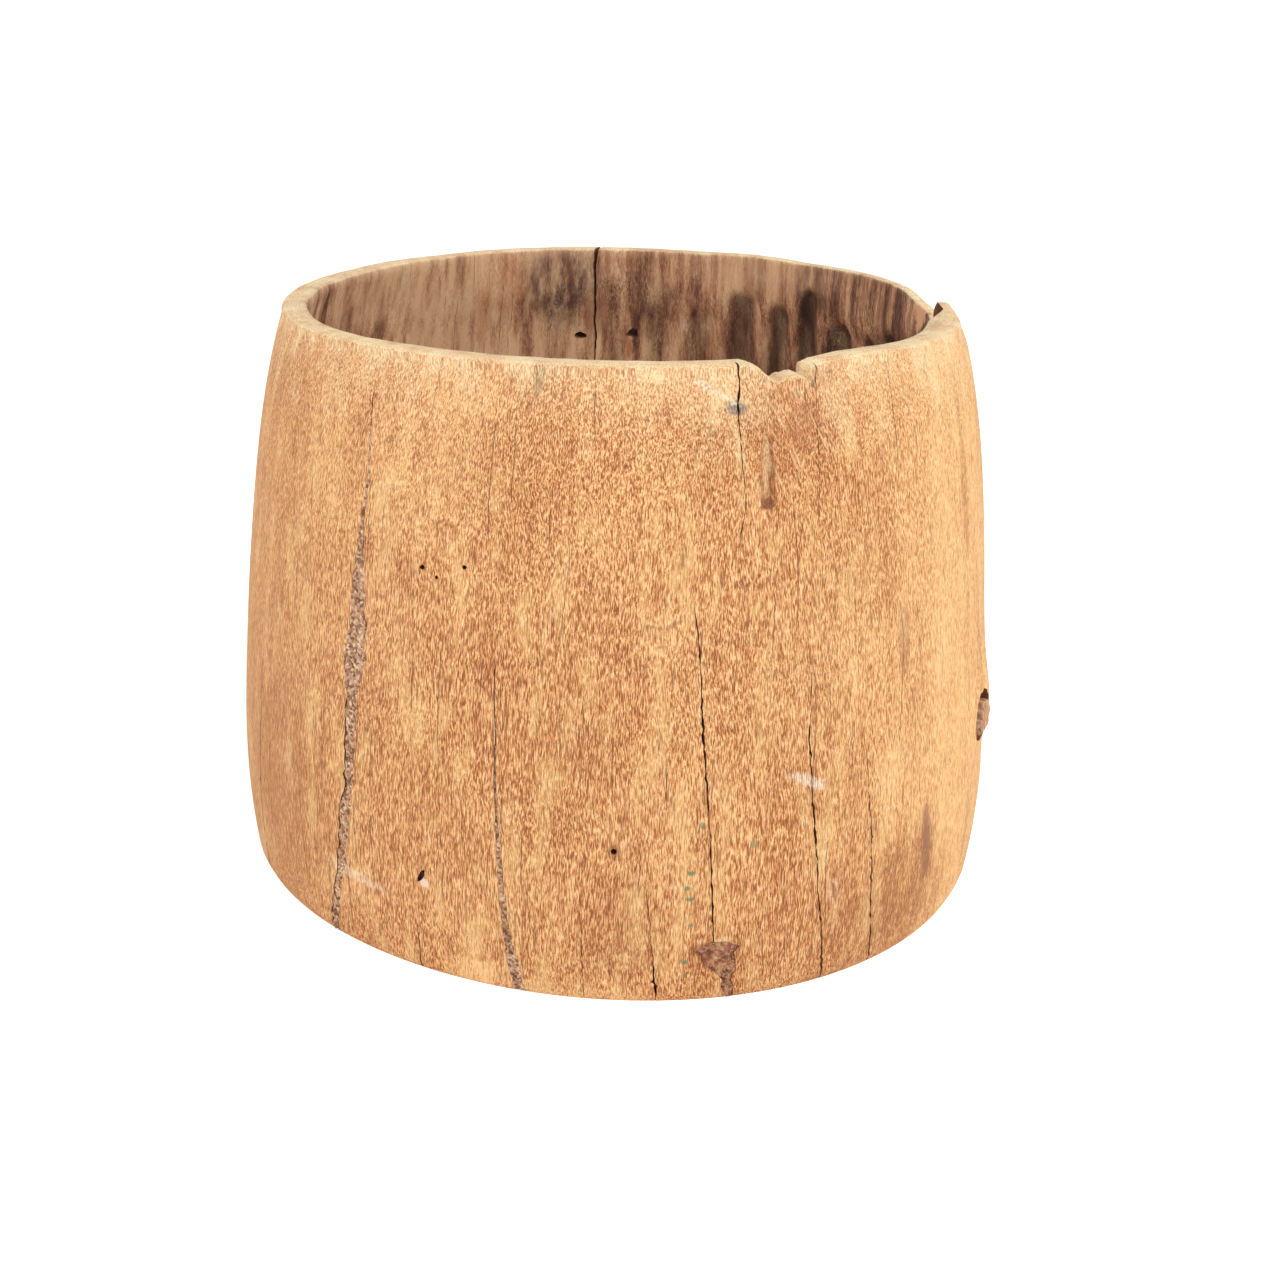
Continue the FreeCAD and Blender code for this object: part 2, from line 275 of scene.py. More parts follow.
bpy.ops.object.select_all(action="DESELECT")
bpy.ops.mesh.primitive_grid_add(x_subdivisions=column_count - 1, y_subdivisions=row_count - 1, size=1)
trunk = bpy.context.object
trunk.name = "weathered_trunk"
flat = corner_values(trunk)
column_of = np.rint((flat[:, 0] + 0.5) * (column_count - 1)).astype(int) % (column_count - 1)
row_of = np.rint((flat[:, 1] + 0.5) * (row_count - 1)).astype(int) % (row_count - 1)
radii = np.array([row[0] for row in rows])[row_of, column_of]
heights = np.array([row[1] for row in rows])[row_of, column_of]
turns = np.radians(columns % 360)[column_of]
rolled = np.stack([radii * np.cos(turns), radii * np.sin(turns), heights], axis=1)
swell = np.array([
    0.0007 * noise.noise(Vector((16 * x, 16 * y, 7 * z))) + 0.00025 * noise.noise(Vector((70 * x, 70 * y, 16 * z)))
    for x, y, z in rolled
])
swell = swell * np.clip((heights - 0.001) / 0.01, 0, 1) * (row_of < row_count - 10)
radii = radii + swell
rolled = np.stack([radii * np.cos(turns), radii * np.sin(turns), heights], axis=1)
put_corners(trunk, rolled)
bpy.ops.object.mode_set(mode="EDIT")
bpy.ops.mesh.select_all(action="SELECT")
bpy.ops.mesh.remove_doubles(threshold=0.000001)
bpy.ops.mesh.normals_make_consistent(inside=False)
bpy.ops.object.mode_set(mode="OBJECT")


# Checks, splits and holes in the trunk
# As the log dried it opened along the grain from the foot and from the rim; two splits go right through the wall.
# Two lacing holes were bored beside the back split, and nails, a knot and knocks have left smaller holes.
cutter_clear = 0.004
check_depth = 0.006
channel_depth = 0.007


def face_outwards():
    """Turns all faces of the active mesh outwards."""
    bpy.ops.object.mode_set(mode="EDIT")
    bpy.ops.mesh.select_all(action="SELECT")
    bpy.ops.mesh.normals_make_consistent(inside=False)
    bpy.ops.object.mode_set(mode="OBJECT")


def drawn_bar(name, sections):
    """Closed bar drawn through sections, each a ring of as many points."""
    corners = len(sections[0])
    steps = len(sections) - 1
    bpy.ops.object.select_all(action="DESELECT")
    bpy.ops.mesh.primitive_cylinder_add(vertices=corners, radius=1, depth=1)
    bar = bpy.context.object
    bar.name = name
    bpy.ops.object.mode_set(mode="EDIT")
    bpy.ops.mesh.select_all(action="DESELECT")
    bpy.ops.mesh.select_mode(type="EDGE")
    shape = bmesh.from_edit_mesh(bar.data)
    for edge in shape.edges:
        edge.select_set(abs(edge.verts[0].co.z - edge.verts[1].co.z) > 0.5)
    bmesh.update_edit_mesh(bar.data)
    if steps > 1:
        bpy.ops.mesh.subdivide(number_cuts=steps - 1)
    bpy.ops.object.mode_set(mode="OBJECT")
    points = corner_values(bar)
    station = np.rint((points[:, 2] + 0.5) * steps).astype(int)
    turn = np.arctan2(points[:, 1], points[:, 0])
    corner = np.rint((turn - turn[0]) / (2 * math.pi / corners)).astype(int) % corners
    put_corners(bar, np.array(sections)[station, corner])
    face_outwards()
    return bar


def on_wall(angle, height, aside, radius):
    """Point at a radius, some way aside along the wall."""
    turn = math.radians(angle) + aside / radius
    return (radius * math.cos(turn), radius * math.sin(turn), height)


def stations_of(path, spacing, seed, wander):
    """Places along a check, closely spaced, wandering a little as the grain does."""
    heights_down = [place[1] for place in path]
    length = abs(heights_down[-1] - heights_down[0])
    count = max(3, int(length / spacing) + 1)
    shares = np.linspace(0, 1, count)
    along = [abs(z - heights_down[0]) / length for z in heights_down]
    chance = np.random.default_rng(seed)
    places = []
    drift = 0
    for share in shares:
        drift = 0.75 * drift + wander * chance.uniform(-1, 1)
        angle = float(np.interp(share, along, [p[0] for p in path]))
        height = heights_down[0] + (heights_down[-1] - heights_down[0]) * share
        width = float(np.interp(share, along, [p[2] for p in path])) * chance.uniform(0.72, 1.28)
        places.append((angle + drift, 0.001 * height, 0.001 * width))
    return places


def open_check(name, path, seed):
    """Cutter of an open drying check: a jagged wedge along the grain."""
    chance = np.random.default_rng(seed + 300)
    sections = []
    for angle, height, width in stations_of(path, 3.0, seed, 0.07):
        face = float(outside_radius(angle, height))
        deep = check_depth * chance.uniform(0.2, 1)
        width = width * chance.uniform(0.30, 1.35)
        wide = 0.34 * width * (1 + cutter_clear / deep)
        sections.append([
            on_wall(angle, height, wide, face + cutter_clear),
            on_wall(angle, height, -wide, face + cutter_clear),
            on_wall(angle, height, 0.15 * width, face - deep),
        ])
    return drawn_bar(name, sections)


def filled_check(name, path, seed):
    """Cutter of a check that was cleaned out flat-bottomed for its filler."""
    sections = []
    for angle, height, width in stations_of(path, 3.5, seed, 0.09):
        face = float(outside_radius(angle, height))
        half = 0.5 * width
        sections.append([
            on_wall(angle, height, 1.05 * half, face + cutter_clear),
            on_wall(angle, height, -1.05 * half, face + cutter_clear),
            on_wall(angle, height, -0.8 * half, face - channel_depth),
            on_wall(angle, height, 0.8 * half, face - channel_depth),
        ])
    return drawn_bar(name, sections)


def through_split(name, path, seed, slant=0):
    """Cutter of a split that goes right through the wall."""
    sections = []
    for angle, height, width in stations_of(path, 3.0, seed, 0.10):
        outer = float(outside_radius(angle, height)) + 0.012
        inner = float(hollow_radius(np.array([angle]), np.array([height]))[0]) - 0.015
        sections.append([
            on_wall(angle, height, 0.5 * width, outer),
            on_wall(angle, height, -0.5 * width, outer),
            on_wall(angle + slant, height, -0.4 * width, inner),
            on_wall(angle + slant, height, 0.4 * width, inner),
        ])
    return drawn_bar(name, sections)


def bored_hole(name, angle, height, width, tall, deep, sides, seed, tilt=0, slope=0, ragged=0.13):
    """Cutter of a hole from outside, deep into the wall or right through it, falling inwards by its slope."""
    chance = np.random.default_rng(seed)
    face = float(outside_radius(angle, height))
    ring = []
    for corner in range(sides):
        turn = 2 * math.pi * (corner + 0.25) / sides
        grow = chance.uniform(1 - ragged, 1 + ragged)
        across = 0.5 * width * grow * math.cos(turn)
        up = 0.5 * tall * grow * math.sin(turn)
        ring.append((across * math.cos(tilt) - up * math.sin(tilt), across * math.sin(tilt) + up * math.cos(tilt)))
    sections = []
    for radius, size in ((face + 0.006, 1.1), (face - 0.3 * deep, 1.0), (face - deep, 0.75)):
        middle = height + slope * (radius - face)
        sections.append([on_wall(angle, middle + size * up, size * across, radius) for across, up in ring])
    return drawn_bar(name, sections)


def cut_out(piece, cutter):
    """Takes a cutter out of a piece; the cut faces keep the cutter's material."""
    bpy.ops.object.select_all(action="DESELECT")
    piece.select_set(True)
    bpy.context.view_layer.objects.active = piece
    bpy.ops.object.modifier_add(type="BOOLEAN")
    cut = piece.modifiers[-1]
    cut.operation = "DIFFERENCE"
    cut.solver = "MANIFOLD"
    cut.material_mode = "TRANSFER"
    cut.object = cutter
    bpy.ops.object.modifier_apply(modifier=cut.name)
    bpy.data.objects.remove(cutter)


left_check = (
    (229.6, 318, 0.5), (230.6, 279, 1.5), (230.1, 252, 2.4), (229.9, 230, 6.5), (230.3, 208, 9.5), (230.2, 192, 14),
    (229.9, 180, 16), (229.8, 169, 13), (229.6, 150, 7.5), (229.5, 104, 7.8), (228.5, 78, 8.5), (227.6, 50, 6.5),
    (225.7, 23, 7), (224, -3, 6.5),
)
middle_check = ((253, 193, 0.5), (253.4, 138, 1.2), (253.9, 93, 2.2), (255, 45, 4), (256.9, -3, 7))
foot_break = ((283.4, 38, 14), (283.6, 34, 23), (283.8, 27, 22), (284.6, 20, 12), (285.2, 12, 7), (285.8, -3, 4))
checks = {
    "check_centre": (
        (279.4, 230, 0.4), (280.3, 204, 1.3), (280.8, 156, 1.7), (281.6, 123, 1.3), (282.4, 77, 1.3), (283, 36, 1.5),
    ),
    "check_right": ((295.7, 187, 0.4), (295.5, 150, 1.1), (296.3, 104, 1.5), (297.3, 67, 1.2), (299.8, -3, 1.7)),
    "check_far_right": ((304.9, 133, 0.4), (305.9, 94, 1.2), (306.7, 44, 1.7), (308.4, -3, 1.3)),
    "check_low_middle": ((273.7, 80, 0.3), (274.8, 35, 1.0), (275.8, -3, 1.9)),
    "check_low_left": ((265, 82, 0.3), (265.9, -3, 0.7)),
    "check_foot_left": ((241.4, 30, 0.4), (241.3, -3, 1.5)),
    "check_rim_front": (
        (285.9, 352, 3.2), (286.1, 336, 2.0), (285.6, 327, 1.5), (285.8, 315, 1.0), (286.3, 280, 0.8),
        (285.2, 248, 0.4),
    ),
    "check_spur": ((298.0, 346, 1.0), (297.4, 318, 0.6), (297.0, 262, 0.3)),
    "check_left_side": ((205, 150, 0.4), (204.2, 90, 1.2), (203, -3, 1.6)),
    "check_back_left": ((141, 210, 0.4), (140.2, 120, 1.3), (139, -3, 2.0)),
    "check_back_right": ((58, 170, 0.4), (58.8, 80, 1.2), (60, -3, 1.8)),
    "check_right_side": ((22, 200, 0.4), (21.4, 110, 1.4), (20.4, -3, 1.8)),
}
check_cutters = []
channel_cutters = []
for number, name in enumerate(sorted(checks)):
    check_cutters.append(open_check(name, checks[name], 20 + number))
channel_cutters.append(filled_check("left_channel", left_check, 41))
channel_cutters.append(filled_check("middle_channel", middle_check, 42))
channel_cutters.append(filled_check("foot_hollow", foot_break, 43))
back_split = ((93.7, 356, 3.0), (93.5, 320, 2.4), (93.0, 290, 1.8), (92.7, 250, 1.0))
side_split = ((4.4, 345, 6), (4.5, 325, 4), (4.7, 310, 2.2), (4.9, 295, 1.6), (4.6, 265, 0.8))
channel_cutters.append(through_split("back_opening", back_split, 51, slant=6))
channel_cutters.append(through_split("side_opening", side_split, 52))
# the inner half of the front end has split off beside the opening
end_break = (
    (0.362, (0.1850, 0.0120), (0.1866, -0.0175), (0.1735, -0.0500), (0.1600, -0.0500), (0.1600, 0.0120)),
    (0.300, (0.1835, 0.0120), (0.1850, -0.0060), (0.1790, -0.0160), (0.1600, -0.0160), (0.1600, 0.0120)),
)
check_cutters.append(drawn_bar("end_break", [[(x, y, level) for x, y in corners] for level, *corners in end_break]))
# holes: angle, height, width, tallness, depth, number of sides and seed, then what else shapes them
lacing_and_knot_holes = {
    "lacing_hole_left": (99.6, 0.281, 0.0100, 0.0058, 0.030, 9, 2, {"slope": 0.3, "ragged": 0.2}),
    "lacing_hole_right": (88.8, 0.2825, 0.0110, 0.0076, 0.030, 9, 3, {"slope": 0.3, "ragged": 0.4}),
    "knot_hole": (knot_angle - 2.6, knot_height, 0.025, 0.032, 0.012, 26, 4, {"ragged": 0.05}),
}
for name, (*sizes, shaping) in lacing_and_knot_holes.items():
    check_cutters.append(bored_hole(name, *sizes, **shaping))
# a shallow groove below the rim, from one slip of the gouge: height, half width and depth down its length
groove_angle = 289.6
groove_path = (
    (0.3120, 0.0022, 0.0004), (0.3085, 0.0034, 0.0016), (0.3000, 0.0035, 0.0023), (0.2900, 0.0036, 0.0027),
    (0.2815, 0.0045, 0.0034), (0.2772, 0.0044, 0.0033), (0.2755, 0.0030, 0.0018),
)
groove_outline = (
    (1.1, cutter_clear), (-1.1, cutter_clear), (-1, 0), (-0.7, -0.75),
    (-0.25, -1), (0.25, -1), (0.7, -0.75), (1, 0),
)
groove_sections = []
for height, half, deep in groove_path:
    face = float(outside_radius(groove_angle, height))
    groove_sections.append([
        on_wall(groove_angle, height, across * half, face + (out if out > 0 else out * deep))
        for across, out in groove_outline
    ])
check_cutters.append(drawn_bar("gouge_groove", groove_sections))
# small holes, with the same sizes and, on two of them, a tilt
small_holes = {
    "pit": (269.6, 0.0934, 0.0032, 0.0036, 0.006, 9, 6),
    "worm_hole_high": (241.4, 0.2351, 0.0030, 0.0026, 0.005, 9, 7),
    "worm_hole_low": (243.8, 0.2313, 0.0018, 0.0020, 0.005, 8, 8),
    "worm_hole_right": (248.1, 0.2392, 0.0026, 0.0022, 0.005, 9, 9),
    "nail_slit_left": (242.4, 0.0615, 0.0030, 0.0090, 0.0050, 10, 10, -0.5),
    "nail_scar_right": (299.8, 0.0588, 0.0050, 0.0100, 0.0016, 12, 12, 0.2),
}
for number, angle in enumerate((0, 60, 118, 180)):
    small_holes[f"nail_slit_{number}"] = (angle, 0.060, 0.0040, 0.0055, 0.0050, 8, 60 + number)
for name, sizes in small_holes.items():
    check_cutters.append(bored_hole(name, *sizes))

weathered_wood = bpy.data.materials.new("weathered_trunk_wood")
split_wood = bpy.data.materials.new("split_trunk_wood")
trunk.data.materials.append(weathered_wood)
for cutters in (check_cutters, channel_cutters):
    bpy.ops.object.select_all(action="DESELECT")
    for cutter in cutters:
        scuff = cutter.name in ("gouge_groove", "nail_scar_right")
        cutter.data.materials.append(weathered_wood if scuff else split_wood)
        cutter.select_set(True)
    bpy.context.view_layer.objects.active = cutters[0]
    bpy.ops.object.join()
    cut_out(trunk, cutters[0])
bpy.ops.object.shade_smooth_by_angle(angle=math.radians(40))

points = corner_values(trunk)
point_angle = np.degrees(np.arctan2(points[:, 1], points[:, 0])) % 360
point_radius = np.hypot(points[:, 0], points[:, 1])
sound_height = np.clip(points[:, 2], 0, wall_top(point_angle))
outer = outside_radius(point_angle, sound_height)
inner = hollow_radius(point_angle, sound_height)
inwards = np.clip((outer - point_radius) / (outer - inner), 0, 1)
facing_up = corner_values(trunk, "normal")[:, 2]
turned_over = np.clip((facing_up - 0.10) / 0.75, 0, 1) * (points[:, 2] > 0.30)
worn_edge_reach = 0.014
worn_edge = np.clip(1 - (wall_top(point_angle) - points[:, 2]) / worn_edge_reach, 0, 1)
turned_over = np.maximum(turned_over, 0.5 * worn_edge * (inwards < 0.4))
# painted shade in the gouge scoops: how deep each scoop is in the hollow, kept on the mesh to darken the scoops
scoop_shade = gouge_marks(point_angle, sound_height) / (gouge_depth + rough_gouge_depth) * (inwards > 0.6)
# broad stains, painted on the mesh: angle, height, half width, half height, and paler above or darker below zero
outside_stains = (
    (303, 0.0320, 0.0300, 0.0400, -0.45),
    (291, 0.3180, 0.0520, 0.0300, -0.27),
    (249, 0.0700, 0.0450, 0.0450, 0.17),
    (238, 0.2850, 0.0450, 0.0550, 0.42),
    (221, 0.2900, 0.0400, 0.0600, 0.3),
    (322, 0.2050, 0.0160, 0.1100, 0.3),
    (309.2, 0.1200, 0.0160, 0.0180, 0.4),
    (233, 0.2050, 0.0340, 0.0500, 0.22),
    (275.2, 0.2120, 0.0120, 0.0130, 0.4),
    (227, 0.0360, 0.0240, 0.0110, 0.25),
    (215.5, 0.0720, 0.0260, 0.0180, 0.2),
    (211, 0.0900, 0.0400, 0.0550, -0.30),
    (296, 0.1900, 0.0400, 0.0600, 0.30),
    (331, 0.2500, 0.0050, 0.0700, -0.50),
    (337, 0.1500, 0.0045, 0.0500, -0.40),
    (345, 0.2300, 0.0060, 0.0800, -0.40),
    (334, 0.0550, 0.0060, 0.0300, -0.40),
    (251.2, 0.0080, 0.0210, 0.0100, 1.00),
    (266.7, 0.0020, 0.0420, 0.0070, 0.50),
    (271.5, 0.0450, 0.0260, 0.0340, -0.40),
    (265, 0.1520, 0.0220, 0.0220, -0.22),
    (314, 0.0360, 0.0440, 0.0450, -0.80),
    (247, 0.2950, 0.0220, 0.0300, -0.20),
    (307, 0.2340, 0.0200, 0.0300, -0.14),
    (224, 0.0600, 0.0250, 0.0300, -0.18),
    (283.4, 0.0300, 0.0165, 0.0115, -0.6),
)
inside_stains = (
    (104.0, 0.3130, 0.0300, 0.0320, -0.70), (84.0, 0.2960, 0.0140, 0.0250, -0.45),
    (62.0, 0.3260, 0.0550, 0.0140, 0.50), (150.0, 0.3200, 0.0500, 0.0220, 0.40),
    (128.0, 0.3000, 0.0300, 0.0400, 0.25),
)
paler = 0 * inwards
darker = 0 * inwards
for stains, limit in ((outside_stains, inwards < 0.5), (inside_stains, inwards >= 0.5)):
    for angle, height, half_width, half_height, shade in stains:
        aside = np.radians(turned_from(point_angle, angle)) * point_radius
        away = np.hypot(aside / half_width, (points[:, 2] - height) / half_height)
        spot = eased((1.35 - away) / 0.95) * limit
        if shade > 0:
            paler = np.maximum(paler, shade * spot)
        else:
            darker = np.maximum(darker, -shade * spot)
for name, values in (
    ("inwards", inwards), ("rim", turned_over), ("scoop_shade", scoop_shade), ("paler", paler), ("darker", darker),
):
    layer = trunk.data.attributes.new(name, "FLOAT", "POINT")
    layer.data.foreach_set("value", values.astype(np.float32))


# Wood of the trunk Sun-bleached and sanded outside, with short fibres, fine drying lines and stains; painted light
# on its right side and painted shade on its left, in the gouge groove and in the crumbled rim by the notch;
# grey-brown and darkened by soot inside, with painted light and shade across the hollow, painted shade in the gouge
# scoops and painted highlights on the lower lips of the lacing holes.
def tone(red, green, blue):
    """Colour as read on a screen, 0 to 255, for a shader's colour socket."""
    parts = []
    for part in (red, green, blue):
        share = part / 255
        parts.append(share / 12.92 if share <= 0.04045 else ((share + 0.055) / 1.055) ** 2.4)
    return (*parts, 1)


def add_node(tree, kind, inputs, **settings):
    """New node with its settings and inputs: a socket is linked, and a value is set."""
    node = tree.nodes.new(kind)
    for name, value in settings.items():
        setattr(node, name, value)
    for name, value in inputs.items():
        if isinstance(value, bpy.types.NodeSocket):
            tree.links.new(value, node.inputs[name])
        else:
            node.inputs[name].default_value = value
    return node


def surface_of(finish):
    """A material's node tree, its shader and the places on the object."""
    finish.use_nodes = True
    tree = finish.node_tree
    return tree, tree.nodes["Principled BSDF"], add_node(tree, "ShaderNodeTexCoord", {}).outputs["Object"]


def laid_on(tree, shader, colour, relief, strength, distance, gloss=0.5):
    """Joins a colour and a relief to the shader, and sets how much it shines."""
    bump = add_node(tree, "ShaderNodeBump", {"Strength": strength, "Distance": distance, "Height": relief}).outputs[0]
    tree.links.new(colour, shader.inputs["Base Color"])
    tree.links.new(bump, shader.inputs["Normal"])
    shader.inputs["Specular IOR Level"].default_value = gloss


def mixed(tree, factor, first, second):
    """Two colours mixed by a factor."""
    return add_node(tree, "ShaderNodeMix", {0: factor, 6: first, 7: second}, data_type="RGBA").outputs[2]


def figured(tree, way, first, second=0.0):
    """One or two numbers worked out in the way that is named."""
    return add_node(tree, "ShaderNodeMath", {0: first, 1: second}, operation=way).outputs[0]


def times(tree, first, second):
    """One number times another."""
    return figured(tree, "MULTIPLY", first, second)


def plus(tree, first, second):
    """One number and another."""
    return figured(tree, "ADD", first, second)


def ranged(tree, value, low, high, to_low=0.0, to_high=1.0):
    """Soft step of a number from low to high."""
    limits = {"Value": value, "From Min": low, "From Max": high, "To Min": to_low, "To Max": to_high}
    return add_node(tree, "ShaderNodeMapRange", limits, interpolation_type="SMOOTHSTEP", clamp=False).outputs[0]


def stretched_noise(tree, vector, scale, along, detail, rough, distortion=0.0):
    """Noise drawn out along the grain."""
    drawn = add_node(tree, "ShaderNodeVectorMath", {0: vector, 1: (1, 1, along)}, operation="MULTIPLY").outputs[0]
    settings = {"Vector": drawn, "Scale": scale, "Detail": detail, "Roughness": rough, "Distortion": distortion}
    return add_node(tree, "ShaderNodeTexNoise", settings).outputs[0]


def colour_ramp(tree, value, stops):
    """Colours along a number."""
    ramp = add_node(tree, "ShaderNodeValToRGB", {0: value})
    elements = ramp.color_ramp.elements
    while len(elements) < len(stops):
        elements.new(0.5)
    for element, (place, colour) in zip(elements, stops):
        element.position = place
        element.color = colour
    return ramp.outputs[0]


wood_figure = bpy.data.node_groups.new("wood_figure", "ShaderNodeTree")
wood_figure.interface.new_socket("Vector", in_out="INPUT", socket_type="NodeSocketVector")
for output in ("Fibre", "Fleck", "Streak", "Blotch", "Cloud", "Pore", "Hairline", "Scratch", "Height"):
    wood_figure.interface.new_socket(output, in_out="OUTPUT", socket_type="NodeSocketFloat")
given = wood_figure.nodes.new("NodeGroupInput").outputs[0]


def swayed_by(vector, scale, amount):
    """Places pushed aside a little by noise, so that the grain wanders."""
    push = add_node(wood_figure, "ShaderNodeTexNoise", {"Vector": given, "Scale": scale, "Detail": 1.0}).outputs[1]
    push = add_node(
        wood_figure, "ShaderNodeVectorMath", {0: push, 1: (0.5, 0.5, 0.5)}, operation="SUBTRACT"
    ).outputs[0]
    return add_node(
        wood_figure, "ShaderNodeVectorMath", {0: push, 1: amount, 2: vector}, operation="MULTIPLY_ADD"
    ).outputs[0]


sides = add_node(wood_figure, "ShaderNodeSeparateXYZ", {0: given}).outputs
turn = figured(wood_figure, "ARCTAN2", sides[0], times(wood_figure, sides[1], -1.0))
mean_radius = 0.225
around = times(wood_figure, turn, mean_radius)
unrolled = add_node(wood_figure, "ShaderNodeCombineXYZ", {0: around, 1: sides[2], 2: 0.0}).outputs[0]
swayed = swayed_by(swayed_by(given, 14.0, (0.006, 0.006, 0)), 70.0, (0.0013, 0.0013, 0))
fibre = ranged(wood_figure, stretched_noise(wood_figure, swayed, 1750.0, 0.105, 2.0, 0.7), 0.32, 0.68)
fleck = ranged(wood_figure, stretched_noise(wood_figure, swayed, 560.0, 0.08, 2.0, 0.6), 0.30, 0.70)
streak = stretched_noise(wood_figure, swayed, 95.0, 0.045, 5.0, 0.62)
blotch = stretched_noise(wood_figure, swayed, 66.0, 0.26, 5.0, 0.62)
cloud = stretched_noise(wood_figure, given, 15.0, 0.5, 3.0, 0.55)
pore = ranged(wood_figure, stretched_noise(wood_figure, swayed, 460.0, 0.075, 1.0, 0.5), 0.64, 0.72)
wobbly = swayed_by(swayed_by(unrolled, 90.0, (0.0014, 0, 0)), 420.0, (0.0008, 0, 0))
wobbly = swayed_by(wobbly, 9.0, (0.016, 0, 0))
sideways = add_node(wood_figure, "ShaderNodeSeparateXYZ", {0: wobbly}).outputs[0]
line = add_node(
    wood_figure, "ShaderNodeTexVoronoi", {"W": sideways, "Scale": 80.0},
    voronoi_dimensions="1D", feature="DISTANCE_TO_EDGE",
).outputs["Distance"]
line = ranged(wood_figure, line, 0.030, 0.008)
broken = ranged(wood_figure, stretched_noise(wood_figure, given, 48.0, 0.32, 3.0, 0.6), 0.54, 0.62)
hairline = times(wood_figure, line, broken)
scratch_slant = math.radians(-28)
slanted = add_node(
    wood_figure, "ShaderNodeVectorRotate", {"Vector": unrolled, "Angle": scratch_slant}, rotation_type="Z_AXIS"
).outputs[0]
slanted = add_node(
    wood_figure, "ShaderNodeVectorMath", {0: slanted, 1: (1, 0.07, 1)}, operation="MULTIPLY"
).outputs[0]
scratch = add_node(wood_figure, "ShaderNodeTexNoise", {"Vector": slanted, "Scale": 560.0, "Detail": 1.0}).outputs[0]
scratch = ranged(wood_figure, scratch, 0.56, 0.70)
height = times(wood_figure, streak, 0.6)
height = plus(wood_figure, height, times(wood_figure, fibre, 0.30))
height = plus(wood_figure, height, times(wood_figure, fleck, 0.20))
height = figured(wood_figure, "SUBTRACT", height, times(wood_figure, pore, 0.30))
height = figured(wood_figure, "SUBTRACT", height, times(wood_figure, hairline, 0.9))
add_node(wood_figure, "NodeGroupOutput", {
    "Fibre": fibre, "Fleck": fleck, "Streak": streak, "Blotch": blotch, "Cloud": cloud, "Pore": pore,
    "Hairline": hairline, "Scratch": scratch, "Height": height,
})

# the soft-edged patch of one stain, scuff or speck on the wall, or of a painted shade or painted highlight
wall_mark = bpy.data.node_groups.new("wall_mark", "ShaderNodeTree")
wall_mark.interface.new_socket("Vector", in_out="INPUT", socket_type="NodeSocketVector")
for name in ("Angle", "Height", "Half Width", "Half Height", "Tilt", "Rough Edge"):
    wall_mark.interface.new_socket(name, in_out="INPUT", socket_type="NodeSocketFloat")
wall_mark.interface.new_socket("Mask", in_out="OUTPUT", socket_type="NodeSocketFloat")
given = wall_mark.nodes.new("NodeGroupInput").outputs
faced = add_node(
    wall_mark, "ShaderNodeVectorRotate", {"Vector": given["Vector"], "Angle": given["Angle"]}, rotation_type="Z_AXIS"
).outputs[0]
faced = add_node(wall_mark, "ShaderNodeSeparateXYZ", {0: faced}).outputs
raised = figured(wall_mark, "SUBTRACT", faced[2], given["Height"])
flat_spot = add_node(wall_mark, "ShaderNodeCombineXYZ", {0: faced[0], 1: raised, 2: 0.0}).outputs[0]
flat_spot = add_node(
    wall_mark, "ShaderNodeVectorRotate", {"Vector": flat_spot, "Angle": given["Tilt"]}, rotation_type="Z_AXIS"
).outputs[0]
flat_spot = add_node(wall_mark, "ShaderNodeSeparateXYZ", {0: flat_spot}).outputs
across = figured(wall_mark, "DIVIDE", flat_spot[0], given["Half Width"])
upward = figured(wall_mark, "DIVIDE", flat_spot[1], given["Half Height"])
across = times(wall_mark, across, across)
upward = times(wall_mark, upward, upward)
away = figured(wall_mark, "SQRT", plus(wall_mark, across, upward))
ragged = stretched_noise(wall_mark, given["Vector"], 260.0, 0.5, 5.0, 0.75)
ragged = times(wall_mark, figured(wall_mark, "SUBTRACT", ragged, 0.5), given["Rough Edge"])
spot = ranged(wall_mark, plus(wall_mark, away, ragged), 1.15, 0.55)
near_side = figured(wall_mark, "LESS_THAN", faced[1], 0.0)
add_node(wall_mark, "NodeGroupOutput", {"Mask": times(wall_mark, spot, near_side)})


def mark_mask(tree, vector, angle, height, half_width, half_height, tilt, edge):
    """Mask of one mark on the wall."""
    return add_node(tree, "ShaderNodeGroup", {
        "Vector": vector, "Angle": math.radians(270 - angle), "Height": height, "Half Width": half_width,
        "Half Height": half_height, "Tilt": tilt, "Rough Edge": edge,
    }, node_tree=wall_mark).outputs["Mask"]


def marked(tree, colour, vector, limit, mark):
    """A mark laid over a colour: its angle, height, half width, half height, tilt, edge, strength and tone."""
    angle, height, half_width, half_height, tilt, edge, strength, paint = mark
    mask = mark_mask(tree, vector, angle, height, half_width, half_height, tilt, edge)
    share = times(tree, times(tree, mask, strength), limit)
    return mixed(tree, share, colour, tone(*paint))


tree, shader, place = surface_of(weathered_wood)
inwards_share = add_node(tree, "ShaderNodeAttribute", {}, attribute_name="inwards").outputs["Fac"]
rim_share = add_node(tree, "ShaderNodeAttribute", {}, attribute_name="rim").outputs["Fac"]
scoop_shade_share = add_node(tree, "ShaderNodeAttribute", {}, attribute_name="scoop_shade").outputs["Fac"]
inside = ranged(tree, inwards_share, 0.35, 0.75)
outside = figured(tree, "SUBTRACT", 1.0, inside)
figure = add_node(tree, "ShaderNodeGroup", {"Vector": place}, node_tree=wood_figure).outputs
xyz = add_node(tree, "ShaderNodeSeparateXYZ", {0: place}).outputs


def weighed(tree, parts, start):
    """Sum of several numbers, each times its weight."""
    total = start
    for value, weight in parts:
        total = plus(tree, times(tree, value, weight), total)
    return total


